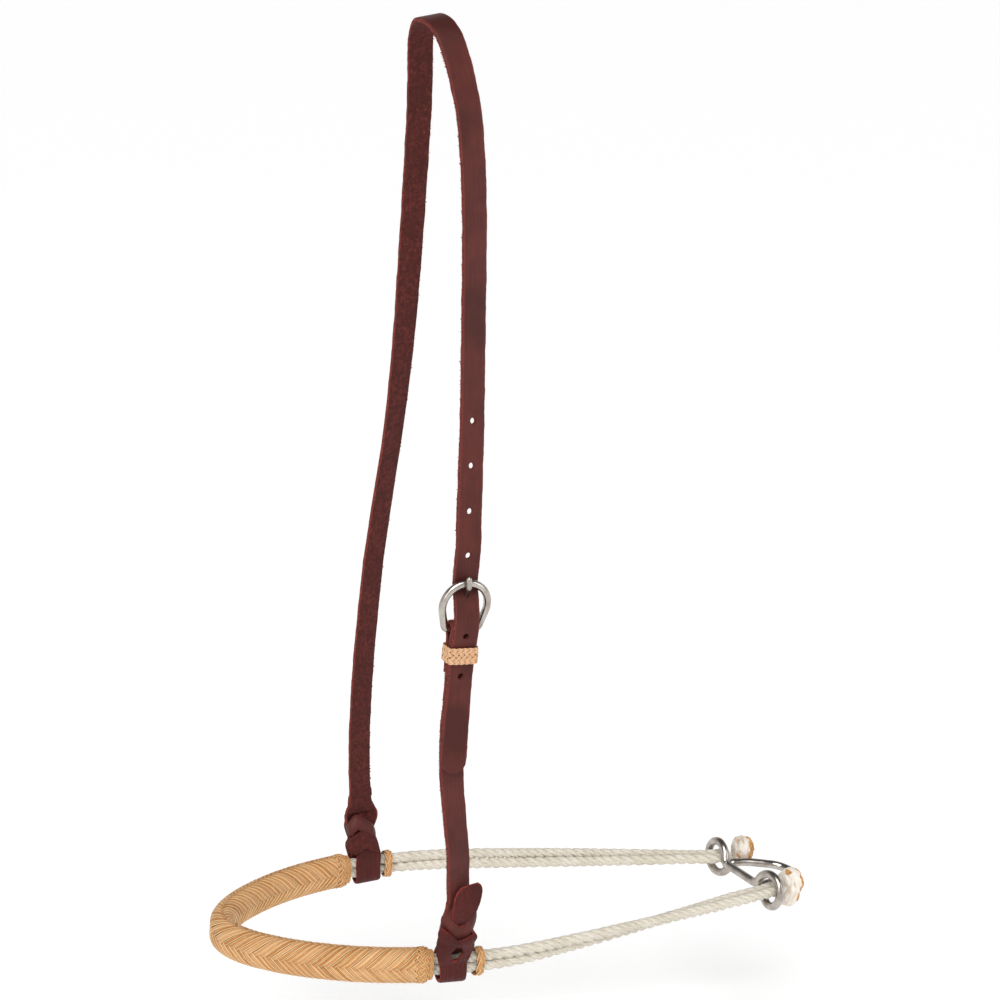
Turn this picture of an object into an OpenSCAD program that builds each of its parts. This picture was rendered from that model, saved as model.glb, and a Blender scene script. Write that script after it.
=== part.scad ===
// Bitless hackamore: a double rope noseband with a braided rawhide nose cover, hung from a
// latigo leather headstall with one cheek buckle, and closed by a bent wire tie-down ring.
// Frame: the origin is under the middle of the crown, where it rests on the poll. +X is to the
// rear (chin side), -Y is the near (buckle) side, +Z is up. Units are millimetres.

/* [Headstall] */
// Drop from the poll rest to the noseband ropes
drop = 555; // [480:1:640]
// Width of the strap leather
strap_w = 15.9; // [12:0.1:20]
// Thickness of the strap leather
strap_t = 2.8; // [2:0.1:4]
// Diameter of the punched billet holes
hole_d = 3.6; // [2.5:0.1:5]
// Distance between the punched holes
hole_pitch = 25.4; // [18:0.1:32]

/* [Noseband] */
// Diameter of each noseband rope
rope_d = 6.9; // [5:0.1:9]
// Distance between the two rope centres
rope_gap = 7.2; // [6:0.1:10]
// Slope of the noseband, tail end down
tilt = 5; // [-10:0.5:15]
// Thickness of the braided cover of the nose
cover_t = 2; // [1.2:0.1:4]
// Thickness of the wrap under the cover
wrap_t = 1.5; // [0.8:0.1:3]

/* [Buckle] */
// Wire diameter of the buckle
buckle_wire = 4.6; // [3:0.1:6]
// Height of the buckle from its bar to its top wire
buckle_h = 28.8; // [20:0.2:34]
// Radius of the round top of the buckle
buckle_r = 14.1; // [11:0.1:18]
// Forward lean of the buckle over the billet
buckle_lean = 8.6; // [4:0.2:14]

/* [Tie-down ring] */
// Wire diameter of the tie-down ring
ring_wire = 5.6; // [3:0.1:7]
// Radius of each eye, to the middle of the wire
eye_r = 10.8; // [9.5:0.1:14]
// Distance between the two eye centres
eye_gap = 59.5; // [50:0.5:70]
// Length of the loop behind the bar, to the middle of the wire
loop_len = 40.5; // [30:0.5:60]

/* [Hidden] */
$fn = 48;

leather = [0.33, 0.15, 0.15];
leather_dark = [0.28, 0.13, 0.13];
rawhide = [0.86, 0.66, 0.46];
rope_ivory = [0.85, 0.83, 0.75];
melted = [0.88, 0.84, 0.78];
steel = [0.78, 0.78, 0.78];
thread = [0.2, 0.1, 0.1];

// Where the two hangers hold the ropes, and the noseband frame hung there
hanger_x = -20;
hanger_y = 74.8;
// Flex line of both hangers, just above the plaits
flex_x = -21;
flex_z = -497;
flex_r = strap_w / 2;
// Middle of the buckle bar, and the slope of the strap there
bar_at = [-12.5, -69, -343];
bar_lean = 6;
// Line where the billet tail flexes, below the keeper, in the buckle frame
tail_z = -40;
billet_y = -4.6;

// Middle of the tie-down ring between its eyes, its turn and its droop, in the noseband frame
ring_at = [246.8, 1.2, 0];
ring_yaw = 6;
ring_droop = 6;

// Half of the noseband route, from the middle of the nose to the near hardware: x, y
nose_half = [[-120, 11.5], [-113, 23], [-101.5, 34.5], [-86, 46], [-68, 56], [-50, 63.5],
             [-34, 68.5], [-21, 71.5], [-5, 74], [15, 75.5], [35, 75], [55, 72.5], [75, 68.8],
             [95, 64.8], [115, 60.3], [135, 55.8], [155, 51], [175, 46.3], [195, 41.5]];
near_end = [[215, 36.4], [233, 32.3], [251, 28.3], [258.6, 26.6]];
far_end = [[215, 37], [227, 34], [238, 31.9], [252.6, 30.9]];
cover_last = 7;

// Strap routes: x, y, z, turn about Z, lean about Y, share of the full width
far_route = [[-21, 82, -496, 12, 0, 1], [-21, 82, -480, 12, 0, 1], [-21.3, 79.5, -460, 13, 0, 1],
             [-21.3, 76.3, -440, 14, 0, 1], [-20.9, 73.5, -420, 14, 0, 1],
             [-19.8, 71.5, -400, 15, 0, 1], [-18, 70.3, -380, 16, 0, 1],
             [-15.8, 69.8, -360, 17, 0, 1], [-13.5, 69, -340, 18, 0, 1],
             [-11, 67, -320, 19, 0, 1], [-8.6, 64.6, -300, 20, 0, 1], [-6, 62.2, -280, 22, 0, 1],
             [-3.4, 60, -260, 22, 0, 1], [-1.2, 58, -240, 20, 0, 1], [0.6, 55.8, -220, 17, 0, 1],
             [2.1, 53.6, -200, 14, 0, 1], [3.4, 51.6, -180, 11, 0, 1], [4.5, 49.8, -160, 8, 0, 1],
             [5.6, 48.2, -140, 6, 0, 1], [6.6, 46.5, -120, 5, 0, 1], [7.4, 44.6, -100, 4, 0, 1],
             [7.9, 42, -80, 3, 0, 1], [8, 38.8, -60, 2, 0, 1], [7.4, 35, -43, 0, -2, 1],
             [6, 31, -30, 0, -4, 1], [4.4, 26.3, -17.5, 0, -6, 1], [2.8, 20, -7, 0, -8, 1],
             [1.2, 11, -0.8, 0, -8, 1], [0, 0, 1.4, 0, -8, 1]];
near_route = [[1.2, -11, -0.8, 0, -8, 1], [2.8, -20, -7, 0, -8, 1], [4.4, -26.3, -17.5, 0, -6, 1],
              [6, -31, -30, 0, -4, 1], [7.4, -35, -43, 2, -2, 1], [8, -38.8, -60, 4, 0, 1],
              [7.9, -42, -80, 6, 0, 1], [7.4, -44.6, -100, 7, 0, 1], [6.6, -46.5, -120, 8, 0, 1],
              [5.6, -48.2, -140, 8, 0, 1], [4.5, -49.8, -160, 8, 0, 1],
              [3.4, -51.6, -180, 8, 0, 1], [2.1, -53.6, -200, 8, 0, 1],
              [0.6, -56.2, -220, 7, 2, 1], [-1.6, -59.6, -240, 5, 4, 1],
              [-4, -63.2, -260, 3, 5, 1], [-6.2, -66.4, -280, 1, 6, 1]];
cheek_route = [[-21, -82, -496, 12, 0, 1], [-21, -82, -480, 13, 0, 1],
               [-21.6, -79.5, -460, 12, 0, 1], [-21.9, -76.3, -440, 9, 0, 1],
               [-21.2, -73.7, -420, 4, 2, 1], [-19.6, -71.8, -405, 1, 4, 1]];
// Straps at the buckle, in the buckle frame: y, z
billet_run = [[0.6, 46], [0.6, 36], [0.6, 30], [0.4, 26], [-0.8, 22.4], [-2.8, 18.6], [-4.7, 14.6],
              [-6.2, 10.6], [-6.95, 6.6], [-7, 3], [-7, 0], [-6.6, -4], [-5.6, -8.5], [-4.8, -12],
              [-4.6, -16], [-4.6, -28], [-4.6, tail_z]];
fold_up = [[-1.5, -50], [-1.5, -40], [-1.5, -30], [-1.5, -20], [-1.5, -12], [-2.3, -7.5],
           [-3.3, -3.6]];
fold_down = [[3.3, -3.6], [2.3, -7.5], [1.5, -12], [1.5, -20], [1.5, -27]];
fold_r = buckle_wire / 2 + 0.15 + strap_t / 2;
tail_run = [[0, -4.6, tail_z, 0, 1], [-0.2, -5.3, -50, -4, 1], [-0.7, -7, -60, -8, 1],
            [-1.5, -8.9, -70, -11, 1], [-2.1, -10.4, -78, -13, 1], [-2.3, -10.9, -81.5, -13, 0.9],
            [-2.4, -11.2, -84, -13, 0.68], [-2.5, -11.4, -85.5, -13, 0.34]];
tongue_run = [[-0.3, 3.2], [-0.2, 9], [-0.3, 14], [-1, 18], [-2.9, 21.4], [-5.8, 24.4],
              [-8.7, 27.6], [-9.1, 30.2], [-9, 32.3]];

// Vector and ring helpers
function xyz(p) = [p[0], p[1], p[2]];
function unit(v) = v / norm(v);
function tangent(path, i) =
    unit(xyz(path[min(i + 1, len(path) - 1)]) - xyz(path[max(i - 1, 0)]));
// A point of the buckle frame in the object's frame
function at_bar(p) = bar_at + [p[0] * cos(bar_lean) + p[2] * sin(bar_lean), p[1],
                               p[2] * cos(bar_lean) - p[0] * sin(bar_lean)];
function bar_row(list) =
    [for (q = list) concat(at_bar([0, q[0], q[1]]), [0, bar_lean, 1])];
// Section of a strap with eased edges, for a width w and thickness h
function strap_section(w, h, e = 0.6) =
    [[w - e, -h], [w, e - h], [w, h - e], [w - e, h], [e - w, h], [-w, h - e], [-w, e - h],
     [e - w, -h]];
function strap_ring(path, i, w, h) =
    let (q = path[i], t = tangent(path, i),
         along = [cos(q[3]) * cos(q[4]), sin(q[3]), -sin(q[4])],
         side = unit(along - (along * t) * t), out = cross(t, side))
    [for (c = strap_section(w / 2 * q[5], h / 2)) xyz(q) + side * c[0] + out * c[1]];
// Section of a pair of stacked ropes wrapped with a band: half width rw, half height rh
function pill(rw, rh, n = 16) =
    [for (k = [0:n - 1]) let (a = (k + 0.5) * 360 / n)
        [rw * cos(a), rw * sin(a) + (a < 180 ? rh - rw : rw - rh)]];
function flat_ring(path, i, section) =
    let (t = tangent(path, i), side = cross([0, 0, 1], t))
    [for (c = section) xyz(path[i]) + side * c[0] + [0, 0, c[1]]];

// The whole route of the noseband, from the near knot round the nose to the far knot
function side_route(list, sign) = [for (p = list) [p[0], sign * p[1], 0]];
function reversed(list) = [for (i = [len(list) - 1:-1:0]) list[i]];
nose_route = concat(reversed(side_route(concat(nose_half, near_end), -1)), [[-122.5, 0, 0]],
                    side_route(concat(nose_half, far_end), 1));
// Angle of the rope pair: one above the other at the hangers, side by side at the knots
function pair_turn(x) = 88 * min(1, max(0, (x - 20) / 200));
function rope_centre(i, sign) =
    let (p = nose_route[i], side = cross([0, 0, 1], tangent(nose_route, i)), a = pair_turn(p[0]))
    p + sign * rope_gap / 2 * (side * sin(a) + [0, 0, cos(a)]);
rope_path_up = [for (i = [0:len(nose_route) - 1]) rope_centre(i, 1)];
rope_path_low = [for (i = [0:len(nose_route) - 1]) rope_centre(i, -1)];
// Part of the route under the braided cover
cover_route = concat(reversed(side_route([for (i = [0:cover_last]) nose_half[i]], -1)),
                     [[-122.5, 0, 0]], side_route([for (i = [0:cover_last]) nose_half[i]], 1));

// Solid skin over a list of rings with equal point counts
module skin(rings) {
    n = len(rings[0]);
    m = len(rings);
    sides = [for (i = [0:m - 2]) for (j = [0:n - 1])
             let (a = i * n + j, b = i * n + (j + 1) % n, c = (i + 1) * n + (j + 1) % n,
                  d = (i + 1) * n + j) each [[a, d, c], [a, c, b]]];
    caps = [[for (j = [0:n - 1]) j], [for (j = [n - 1:-1:0]) (m - 1) * n + j]];
    polyhedron(points = [for (r = rings) each r], faces = concat(sides, caps), convexity = 8);
}

// Hollow skin: an outer and an inner row of rings, closed by flat ends
module tube(outer, inner) {
    n = len(outer[0]);
    m = len(outer);
    k = n * m;
    walls = [for (i = [0:m - 2]) for (j = [0:n - 1])
             let (a = i * n + j, b = i * n + (j + 1) % n, c = (i + 1) * n + (j + 1) % n,
                  d = (i + 1) * n + j)
             each [[a, d, c], [a, c, b], [k + a, k + c, k + d], [k + a, k + b, k + c]]];
    e = (m - 1) * n;
    ends = [for (j = [0:n - 1]) let (j2 = (j + 1) % n)
            each [[j, j2, k + j2], [j, k + j2, k + j],
                  [e + j, k + e + j2, e + j2], [e + j, k + e + j, k + e + j2]]];
    polyhedron(points = concat([for (r = outer) each r], [for (r = inner) each r]),
               faces = concat(walls, ends), convexity = 8);
}

module strap(path) {
    skin([for (i = [0:len(path) - 1]) strap_ring(path, i, strap_w, strap_t)]);
}

// Placement of the noseband, the buckle and one hanger
module in_noseband() {
    translate([hanger_x, 0, -drop]) rotate([0, tilt, 0]) children();
}

module in_buckle() {
    translate(bar_at) rotate([0, bar_lean, 0]) children();
}

// A hanger is drawn with its outer face towards -Y, and mirrored for the far side
module on_side(sign) {
    if (sign < 0) {
        children();
    }
    else {
        mirror([0, 1, 0]) children();
    }
}

// Cutter that shapes a strap end concentric with the flex line
module flex_cut(extra) {
    translate([flex_x, 0, flex_z]) rotate([90, 0, 0])
        cylinder(r = flex_r + extra, h = 220, center = true, $fn = 64);
}

// Crown strap: far cheek, crown, near cheek and the buckled part of the billet
module crown_strap() {
    path = concat(far_route, near_route, bar_row(billet_run));
    color(leather) difference() {
        strap(path);
        flex_cut(0.3);
        billet_holes();
        in_buckle() translate([0, billet_y, tail_z]) rotate([0, 90, 0])
            cylinder(r = strap_t / 2 + 0.3, h = 30, center = true);
    }
}

// Punched holes above and below the buckle, and the stretched one that takes the tongue
module billet_holes() {
    for (k = [0:3]) {
        q = hole_at[k];
        translate(q) rotate([90 + hole_tip[k], 0, 0])
            cylinder(d = hole_d, h = 14, center = true, $fn = 24);
    }
    in_buckle() translate([0, -1.7, 20.8]) rotate([61, 0, 0]) hull() {
        translate([0, 4, 0]) cylinder(r = 2, h = 9, center = true, $fn = 24);
        translate([0, -4, 0]) cylinder(r = 2, h = 9, center = true, $fn = 24);
    }
    in_buckle() for (z = [-2.8, -2.8 - hole_pitch]) {
        translate([0, billet_y - 1.8, z]) rotate([90, 0, 0])
            cylinder(d = hole_d, h = 7, center = true, $fn = 24);
    }
}
// Centres and slopes of the four free holes, on the near cheek above the buckle
hole_at = [[-7.4, -67.4, -299], [-5.2, -64.9, -273.5], [-2.5, -61, -248], [0.1, -57, -222.5]];
hole_tip = [6, 9, 10, 9];

// Near cheek strap: from the flex line up, round the buckle bar and back down inside
module near_cheek_strap() {
    arc = [for (a = [195:-21:-15]) [fold_r * cos(a), fold_r * sin(a)]];
    path = concat(cheek_route, bar_row(concat(fold_up, arc, fold_down)));
    color(leather) difference() {
        strap(path);
        flex_cut(0.3);
        in_buckle() {
            translate([-2.4, -8, -5]) cube([4.8, 16, 14]);
            stitch_lines(1.2, 0.8, 1.4);
        }
    }
}

// Box of stitches through the two plies under the bar: bar width w, depth in the face d
module stitch_lines(w, d, post) {
    face = 1.5 + strap_t / 2;
    x = 5.4;
    for (y = [-face, face - d]) {
        for (s = [-x, x]) {
            translate([s - w / 2, y, -25 - w / 2]) cube([w, d, 12 + w]);
        }
        for (z = [-25, -13]) {
            translate([-x - w / 2, y, z - w / 2]) cube([2 * x + w, d, w]);
        }
    }
    for (s = [-x, 0, x]) {
        for (z = [-25, -13]) {
            translate([s - post / 2, -face, z - post / 2]) cube([post, 2 * face, post]);
        }
    }
}

module fold_stitching() {
    color(thread) in_buckle() stitch_lines(0.8, 0.6, 0.8);
}

// Closed skin over rings that run right round a loop
module loop_skin(rings) {
    n = len(rings[0]);
    m = len(rings);
    polyhedron(points = [for (r = rings) each r], convexity = 6,
               faces = [for (i = [0:m - 1]) for (j = [0:n - 1])
                        let (a = i * n + j, b = i * n + (j + 1) % n,
                             c = (i + 1) % m * n + (j + 1) % n, d = (i + 1) % m * n + j)
                        each [[a, d, c], [a, c, b]]]);
}

// Half of the buckle's wire, from the middle of the bar to the top: x, z
function buckle_half() =
    let (cr = 3, bar = 8.3, top_z = buckle_h - buckle_r, reach = norm([bar, cr - top_z]),
         turn = acos((buckle_r - cr) / reach) - atan2(top_z - cr, bar))
    concat([[0, 0], [2.4, 0], [6, 0]],
           [for (a = [0:5]) let (t = -90 + a * (90 + turn) / 5) [bar + cr * cos(t), cr + cr * sin(t)]],
           [for (a = [0:7]) let (t = turn + a * (90 - turn) / 8)
               [buckle_r * cos(t), top_z + buckle_r * sin(t)]]);

// Buckle: a round-topped wire frame with a straight heel bar
module buckle_frame() {
    half = buckle_half();
    other = [for (i = [len(half) - 1:-1:1]) [-half[i][0], half[i][1]]];
    path = [for (p = concat(half, [[0, buckle_h]], other)) [p[0], 0, p[1]]];
    m = len(path);
    rings = [for (i = [0:m - 1])
             let (t = unit(path[(i + 1) % m] - path[(i + m - 1) % m]), out = cross([0, 1, 0], t))
             [for (k = [0:15]) path[i] + buckle_wire / 2 * (out * cos(k * 22.5)
                                                            + [0, sin(k * 22.5), 0])]];
    color(steel) in_buckle() rotate([buckle_lean, 0, 0]) loop_skin(rings);
}

// Tongue: an eye on the bar and a bent rod that rests on the top of the frame
module buckle_tongue() {
    rod = 1.5;
    path = [for (p = tongue_run) [0, p[0], p[1]]];
    rings = [for (i = [0:len(path) - 1])
             let (t = tangent(path, i), out = cross(t, [1, 0, 0]), r = i < 8 ? rod : rod * 0.7)
             [for (k = [0:11]) path[i] + r * ([cos(k * 30), 0, 0] + out * sin(k * 30))]];
    color(steel) in_buckle() {
        skin(rings);
        difference() {
            rotate([0, 90, 0]) cylinder(r = 3.9, h = 3.4, center = true);
            rotate([0, 90, 0]) cylinder(r = buckle_wire / 2 + 0.08, h = 5, center = true);
        }
    }
}

// Keeper: a flat braided loop round the billet and both plies of the fold
module keeper() {
    wall = 1.2;
    color(rawhide) in_buckle() translate([0, -1.7, -20]) linear_extrude(10.4) difference() {
        rounded_box(2 * (8.2 + wall), 2 * (5.3 + wall), 2.4);
        rounded_box(16.4, 10.6, 1);
    }
}

module rounded_box(w, h, r) {
    hull() {
        for (x = [r - w / 2, w / 2 - r]) {
            for (y = [r - h / 2, h / 2 - r]) {
                translate([x, y]) circle(r = r, $fn = 24);
            }
        }
    }
}

// Free end of the billet below the keeper, with a rounded tip
module billet_tail() {
    path = [for (q = tail_run)
            concat(at_bar([q[0], q[1], q[2]]), [q[3], bar_lean, q[4]])];
    color(leather) union() {
        strap(path);
        in_buckle() translate([0, billet_y, tail_z]) rotate([0, 90, 0])
            cylinder(d = strap_t, h = strap_w - 1.2, center = true);
    }
}

// Bottom of a hanger: a band round both ropes, along the ropes
module hanger_loop(sign) {
    rw = rope_d / 2 + 0.3;
    rh = (rope_d + rope_gap) / 2 + 0.3;
    color(leather) in_noseband() translate([0, sign * hanger_y, 0]) rotate([0, 0, 4.3 * sign])
        rotate([90, 0, 90]) linear_extrude(strap_w, center = true) difference() {
            polygon(pill(rw + strap_t, rh + strap_t, 40));
            polygon(pill(rw, rh, 40));
        }
}

// V-shaped lobe of the plait, seen from the face of the strap
module chevron(w, rise, band, thick) {
    rotate([90, 0, 0]) linear_extrude(thick)
        polygon([[-w / 2, rise], [-w / 2 + 3, rise - 3.4], [0, 0], [w / 2 - 3, rise - 3.4],
                 [w / 2, rise], [w / 2 - 1, rise + band - 2], [0, band], [1 - w / 2, rise + band - 2]]);
}

// Plait: the strap slit and drawn through itself, with the ply that runs up to the flex line
module hanger_plait(sign) {
    y0 = -82;
    color(leather_dark) on_side(sign) union() {
        intersection() {
            translate([flex_x, y0, -530]) rotate([0, 0, 12 * -sign])
                translate([-strap_w / 2, -strap_t / 2, 0]) cube([strap_w, strap_t, 50]);
            union() {
                flex_cut(0);
                translate([flex_x - 20, -100, -560]) cube([40, 40, 560 + flex_z]);
            }
        }
        translate([hanger_x - 7.4, -84, -543.6]) cube([14.8, 10, 26]);
        for (k = [0:2]) {
            translate([hanger_x, -83.6, -543.4 + 7.6 * k]) chevron(20, 6, 7, 2.4);
            translate([hanger_x, -71.8, -543.4 + 7.6 * k]) chevron(19, 6, 7, 2.4);
        }
    }
}

// Tail flap: the free end of the strap, standing up outside the plait
module hanger_tail(sign, tall, slant) {
    color(leather_dark) on_side(sign)
        translate([hanger_x + 3.2, -86.2, -530]) rotate([0, slant, 0]) rotate([90, 0, 0])
            linear_extrude(strap_t) difference() {
                hull() {
                    translate([0, tall - 8.2]) circle(r = 8.2);
                    translate([-6.4, 0]) square([12.8, 6]);
                }
                translate([-10, -20]) square([20, 20]);
            }
}

module near_hanger_plait() {
    hanger_plait(-1);
}

module far_hanger_plait() {
    hanger_plait(1);
}

module near_hanger_tail() {
    hanger_tail(-1, 30, 6);
}

module far_hanger_tail() {
    hanger_tail(1, 24, -4);
}

module near_hanger_loop() {
    hanger_loop(-1);
}

module far_hanger_loop() {
    hanger_loop(1);
}

// Rope: a round cord along one of the two parallel routes
module rope(path) {
    rings = [for (i = [0:len(path) - 1])
             let (t = tangent(path, i), side = unit(cross([0, 0, 1], t)), up = cross(t, side))
             [for (k = [0:9]) path[i] + rope_d / 2 * (side * cos(36 * k) + up * sin(36 * k))]];
    color(rope_ivory) in_noseband() skin(rings);
}

module rope_upper() {
    rope(rope_path_up);
}

module rope_lower() {
    rope(rope_path_low);
}

// Half width and half height of a band round the rope pair, at a distance from the ropes
function band(gap) = pill(rope_d / 2 + gap, (rope_d + rope_gap) / 2 + gap);

module nose_tube(route, gap, wall) {
    tube([for (i = [0:len(route) - 1]) flat_ring(route, i, band(gap + wall))],
         [for (i = [0:len(route) - 1]) flat_ring(route, i, band(gap))]);
}

// Wrap that fills the space between the ropes and the braid
module nose_underwrap() {
    color(rawhide) in_noseband() nose_tube(cover_route, 0.3, wrap_t);
}

module nose_cover() {
    color(rawhide) in_noseband() nose_tube(cover_route, 0.55 + wrap_t, cover_t);
}

// Band of rawhide round the ropes, centred at x on one side of the noseband
module rope_band(sign, x, y, yaw, len, gap, wall) {
    in_noseband() translate([x, sign * y, 0]) rotate([0, 0, -yaw * sign]) rotate([90, 0, 90])
        linear_extrude(len, center = true) difference() {
            polygon(pill(rope_d / 2 + gap + wall, (rope_d + rope_gap) / 2 + gap + wall, 32));
            polygon(pill(rope_d / 2 + gap, (rope_d + rope_gap) / 2 + gap, 32));
        }
}

// End knot of the braid: a raised ring and a narrower finish next to the hanger
module cover_knot(sign) {
    color(rawhide) union() {
        rope_band(sign, -17.1, 72.15, -10, 6.6, 0.5, 4);
        rope_band(sign, -11.7, 73.05, -9, 4.6, 0.5, 2.4);
    }
}

module near_cover_knot() {
    cover_knot(-1);
}

module far_cover_knot() {
    cover_knot(1);
}

// Ring knot that stops the hanger from sliding back along the ropes
module near_rawhide_ring() {
    color(rawhide) rope_band(-1, 14.5, 75.4, -1.5, 5.6, 0.3, 2.2);
}

module far_rawhide_ring() {
    color(rawhide) rope_band(1, 14.5, 75.4, -1.5, 5.6, 0.3, 2.2);
}

// Lump where the two rope ends are opened, knotted and melted together
module rope_knot(at, yaw, tall) {
    color(melted) in_noseband() translate(at) rotate([0, 0, yaw]) hull() {
        rotate([0, 90, 0]) cylinder(r = 7.5, h = 1, $fn = 24);
        for (s = [-1, 1]) {
            translate([8, s * 0.8, s * (tall / 2 - 6.6)]) sphere(r = 6.6, $fn = 20);
            translate([9.6, s * 1.8, 0]) sphere(r = 7.6, $fn = 20);
        }
    }
}

module near_rope_knot() {
    rope_knot([260, -26.5, 0], 12, 27);
}

module far_rope_knot() {
    rope_knot([254.4, 31.2, 3], -5, 22);
}

// Half of the ring's wire, on the far side: from the bar, once round the eye, to the loop
function ring_half() =
    let (c = eye_gap / 2, w = ring_wire / 2 + 0.05)
    concat([[-w, c - eye_r - 4.4, 0], [-w, c - eye_r - 2, 0.4], [-w, c - eye_r - 0.5, 1.7]],
           [for (a = [22:20:342]) [w * (a - 180) / 180, c - eye_r * cos(a), eye_r * sin(a)]],
           [[w + 0.6, c - eye_r + 0.1, -1.5], [w + 2, c - eye_r - 0.2, -0.4],
            [w + 4.4, c - eye_r - 0.7, 0]]);
function mirrored(list) = [for (p = list) [p[0], -p[1], p[2]]];
// Direction carried along a path without twisting
function carried(path, up, i = 0) =
    i >= len(path) ? [] :
    let (t = tangent(path, i), u = unit(up - (up * t) * t))
    concat([u], carried(path, u, i + 1));

// Tie-down ring: two round eyes joined by a bar, with a loop to the rear
module tie_down_ring() {
    bow_r = 13.5;
    bow_x = loop_len - bow_r;
    bow = [for (a = [72:-18:-72]) [bow_x + bow_r * cos(a), bow_r * sin(a), 0]];
    path = concat(ring_half(), bow, mirrored(reversed(ring_half())));
    ups = carried(path, [1, 0, 0]);
    rings = [for (i = [0:len(path) - 1])
             let (t = tangent(path, i), side = cross(ups[i], t), r = ring_wire / 2 - 0.03)
             [for (k = [0:9]) path[i] + r * (side * cos(36 * k) + ups[i] * sin(36 * k))]];
    color(steel) in_noseband() translate(ring_at) rotate([0, ring_droop, ring_yaw]) {
        skin(rings);
        translate([-ring_wire / 2 - 0.05, 0, 0]) rotate([90, 0, 0])
            cylinder(d = ring_wire, h = eye_gap - 2 * eye_r - 7.6, center = true);
    }
}

crown_strap();
near_cheek_strap();
fold_stitching();
buckle_frame();
buckle_tongue();
keeper();
billet_tail();
near_hanger_plait();
near_hanger_tail();
near_hanger_loop();
far_hanger_plait();
far_hanger_tail();
far_hanger_loop();
rope_upper();
rope_lower();
nose_underwrap();
nose_cover();
near_cover_knot();
far_cover_knot();
near_rawhide_ring();
far_rawhide_ring();
near_rope_knot();
far_rope_knot();
tie_down_ring();
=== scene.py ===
import math

import bpy
import numpy as np
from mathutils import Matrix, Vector


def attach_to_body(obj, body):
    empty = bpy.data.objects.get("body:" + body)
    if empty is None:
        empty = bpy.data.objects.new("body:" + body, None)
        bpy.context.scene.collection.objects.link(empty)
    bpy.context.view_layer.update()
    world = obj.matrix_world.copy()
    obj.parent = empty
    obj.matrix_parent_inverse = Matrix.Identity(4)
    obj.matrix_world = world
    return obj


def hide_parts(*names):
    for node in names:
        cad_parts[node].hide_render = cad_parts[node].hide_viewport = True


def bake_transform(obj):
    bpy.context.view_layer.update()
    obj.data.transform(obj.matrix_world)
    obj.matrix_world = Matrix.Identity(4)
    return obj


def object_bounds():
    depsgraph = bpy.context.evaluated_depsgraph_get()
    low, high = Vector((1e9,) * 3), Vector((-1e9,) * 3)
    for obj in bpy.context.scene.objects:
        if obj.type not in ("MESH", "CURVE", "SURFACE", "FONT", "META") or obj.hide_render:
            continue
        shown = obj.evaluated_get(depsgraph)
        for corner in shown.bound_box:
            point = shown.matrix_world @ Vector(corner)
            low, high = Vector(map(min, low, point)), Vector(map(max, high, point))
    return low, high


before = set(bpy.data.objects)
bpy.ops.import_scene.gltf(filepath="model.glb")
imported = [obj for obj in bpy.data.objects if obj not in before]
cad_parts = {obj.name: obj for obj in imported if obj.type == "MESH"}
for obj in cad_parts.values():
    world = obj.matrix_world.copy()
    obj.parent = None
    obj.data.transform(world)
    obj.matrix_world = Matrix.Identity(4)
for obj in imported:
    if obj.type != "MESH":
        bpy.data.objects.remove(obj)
CAD_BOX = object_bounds()

# Everything below is worked out in millimetres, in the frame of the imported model, and each mesh
# is scaled to metres as it is made.
MM = 0.001
STRAP_W, STRAP_T = 15.9, 2.8
HALF_W, HALF_T = STRAP_W / 2, STRAP_T / 2
ROPE_D, ROPE_GAP = 6.9, 7.2
ROPE_R = ROPE_D / 2


def rad(a):
    return math.radians(a)


def polar(r, a, x=0, y=0):
    """The point at radius r and angle a from x, y."""
    return x + r * math.cos(rad(a)), y + r * math.sin(rad(a))


# ---------------------------------------------------------------- frames and routes
BAR_AT, BAR_LEAN = np.array([-12.5, -69.0, -343.0]), 6.0
BUCKLE_WIRE, BUCKLE_H, BUCKLE_R, BUCKLE_LEAN = 4.6, 28.8, 14.1, 8.6
RING_AT, RING_YAW, RING_DROOP = np.array([246.8, 1.2, 0.0]), 6.0, 6.0
RING_WIRE, EYE_R, EYE_GAP, LOOP_LEN = 5.6, 10.8, 59.5, 40.5
NOSE_AT, NOSE_TILT = np.array([-20.0, 0, -555.0]), 5
HANGER_Y = 74.8
BILLET_Y, TAIL_Z, KEEPER_Z = -4.6, -40.0, -14.8

# x and half the spread of the noseband, from the nose to the rear, then each end
NOSE_TIP = (-122.5, 0, 0)
NOSE_HALF = [(-120, 11.5), (-113, 23), (-101.5, 34.5), (-86, 46), (-68, 56), (-50, 63.5),
             (-34, 68.5), (-21, 71.5), (-5, 74), (15, 75.5), (35, 75), (55, 72.5), (75, 68.8),
             (95, 64.8), (115, 60.3), (135, 55.8), (155, 51), (175, 46.3), (195, 41.5)]
NEAR_END = [(215, 36.4), (233, 32.3), (251, 28.3), (258.6, 26.6)]
FAR_END = [(215, 37), (227, 34), (238, 31.9), (252.6, 30.9)]

# x, y, z, turn about Z, lean about Y
FAR_LOW = [(-21, 82, -510, 12, 0), (-21, 82, -496, 12, 0), (-21, 82, -480, 12, 0),
           (-21.3, 79.5, -460, 13, 0), (-21.3, 76.3, -440, 14, 0), (-20.9, 73.5, -420, 14, 0),
           (-19.8, 71.5, -400, 15, 0), (-18, 70.3, -380, 16, 0), (-15.8, 69.8, -360, 17, 0),
           (-13.5, 69, -340, 18, 0), (-11, 67, -320, 19, 0), (-8.6, 64.6, -300, 20, 0),
           (-6, 62.2, -280, 22, 0), (-3.4, 60, -260, 22, 0), (-1.2, 58, -240, 20, 0),
           (0.6, 55.8, -220, 17, 0)]
NEAR_LOW = [(0.6, -56.2, -220, 7, 2), (-1.6, -59.6, -240, 5, 4), (-4, -63.2, -260, 3, 5),
            (-6.2, -66.4, -280, 1, 6)]
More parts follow.
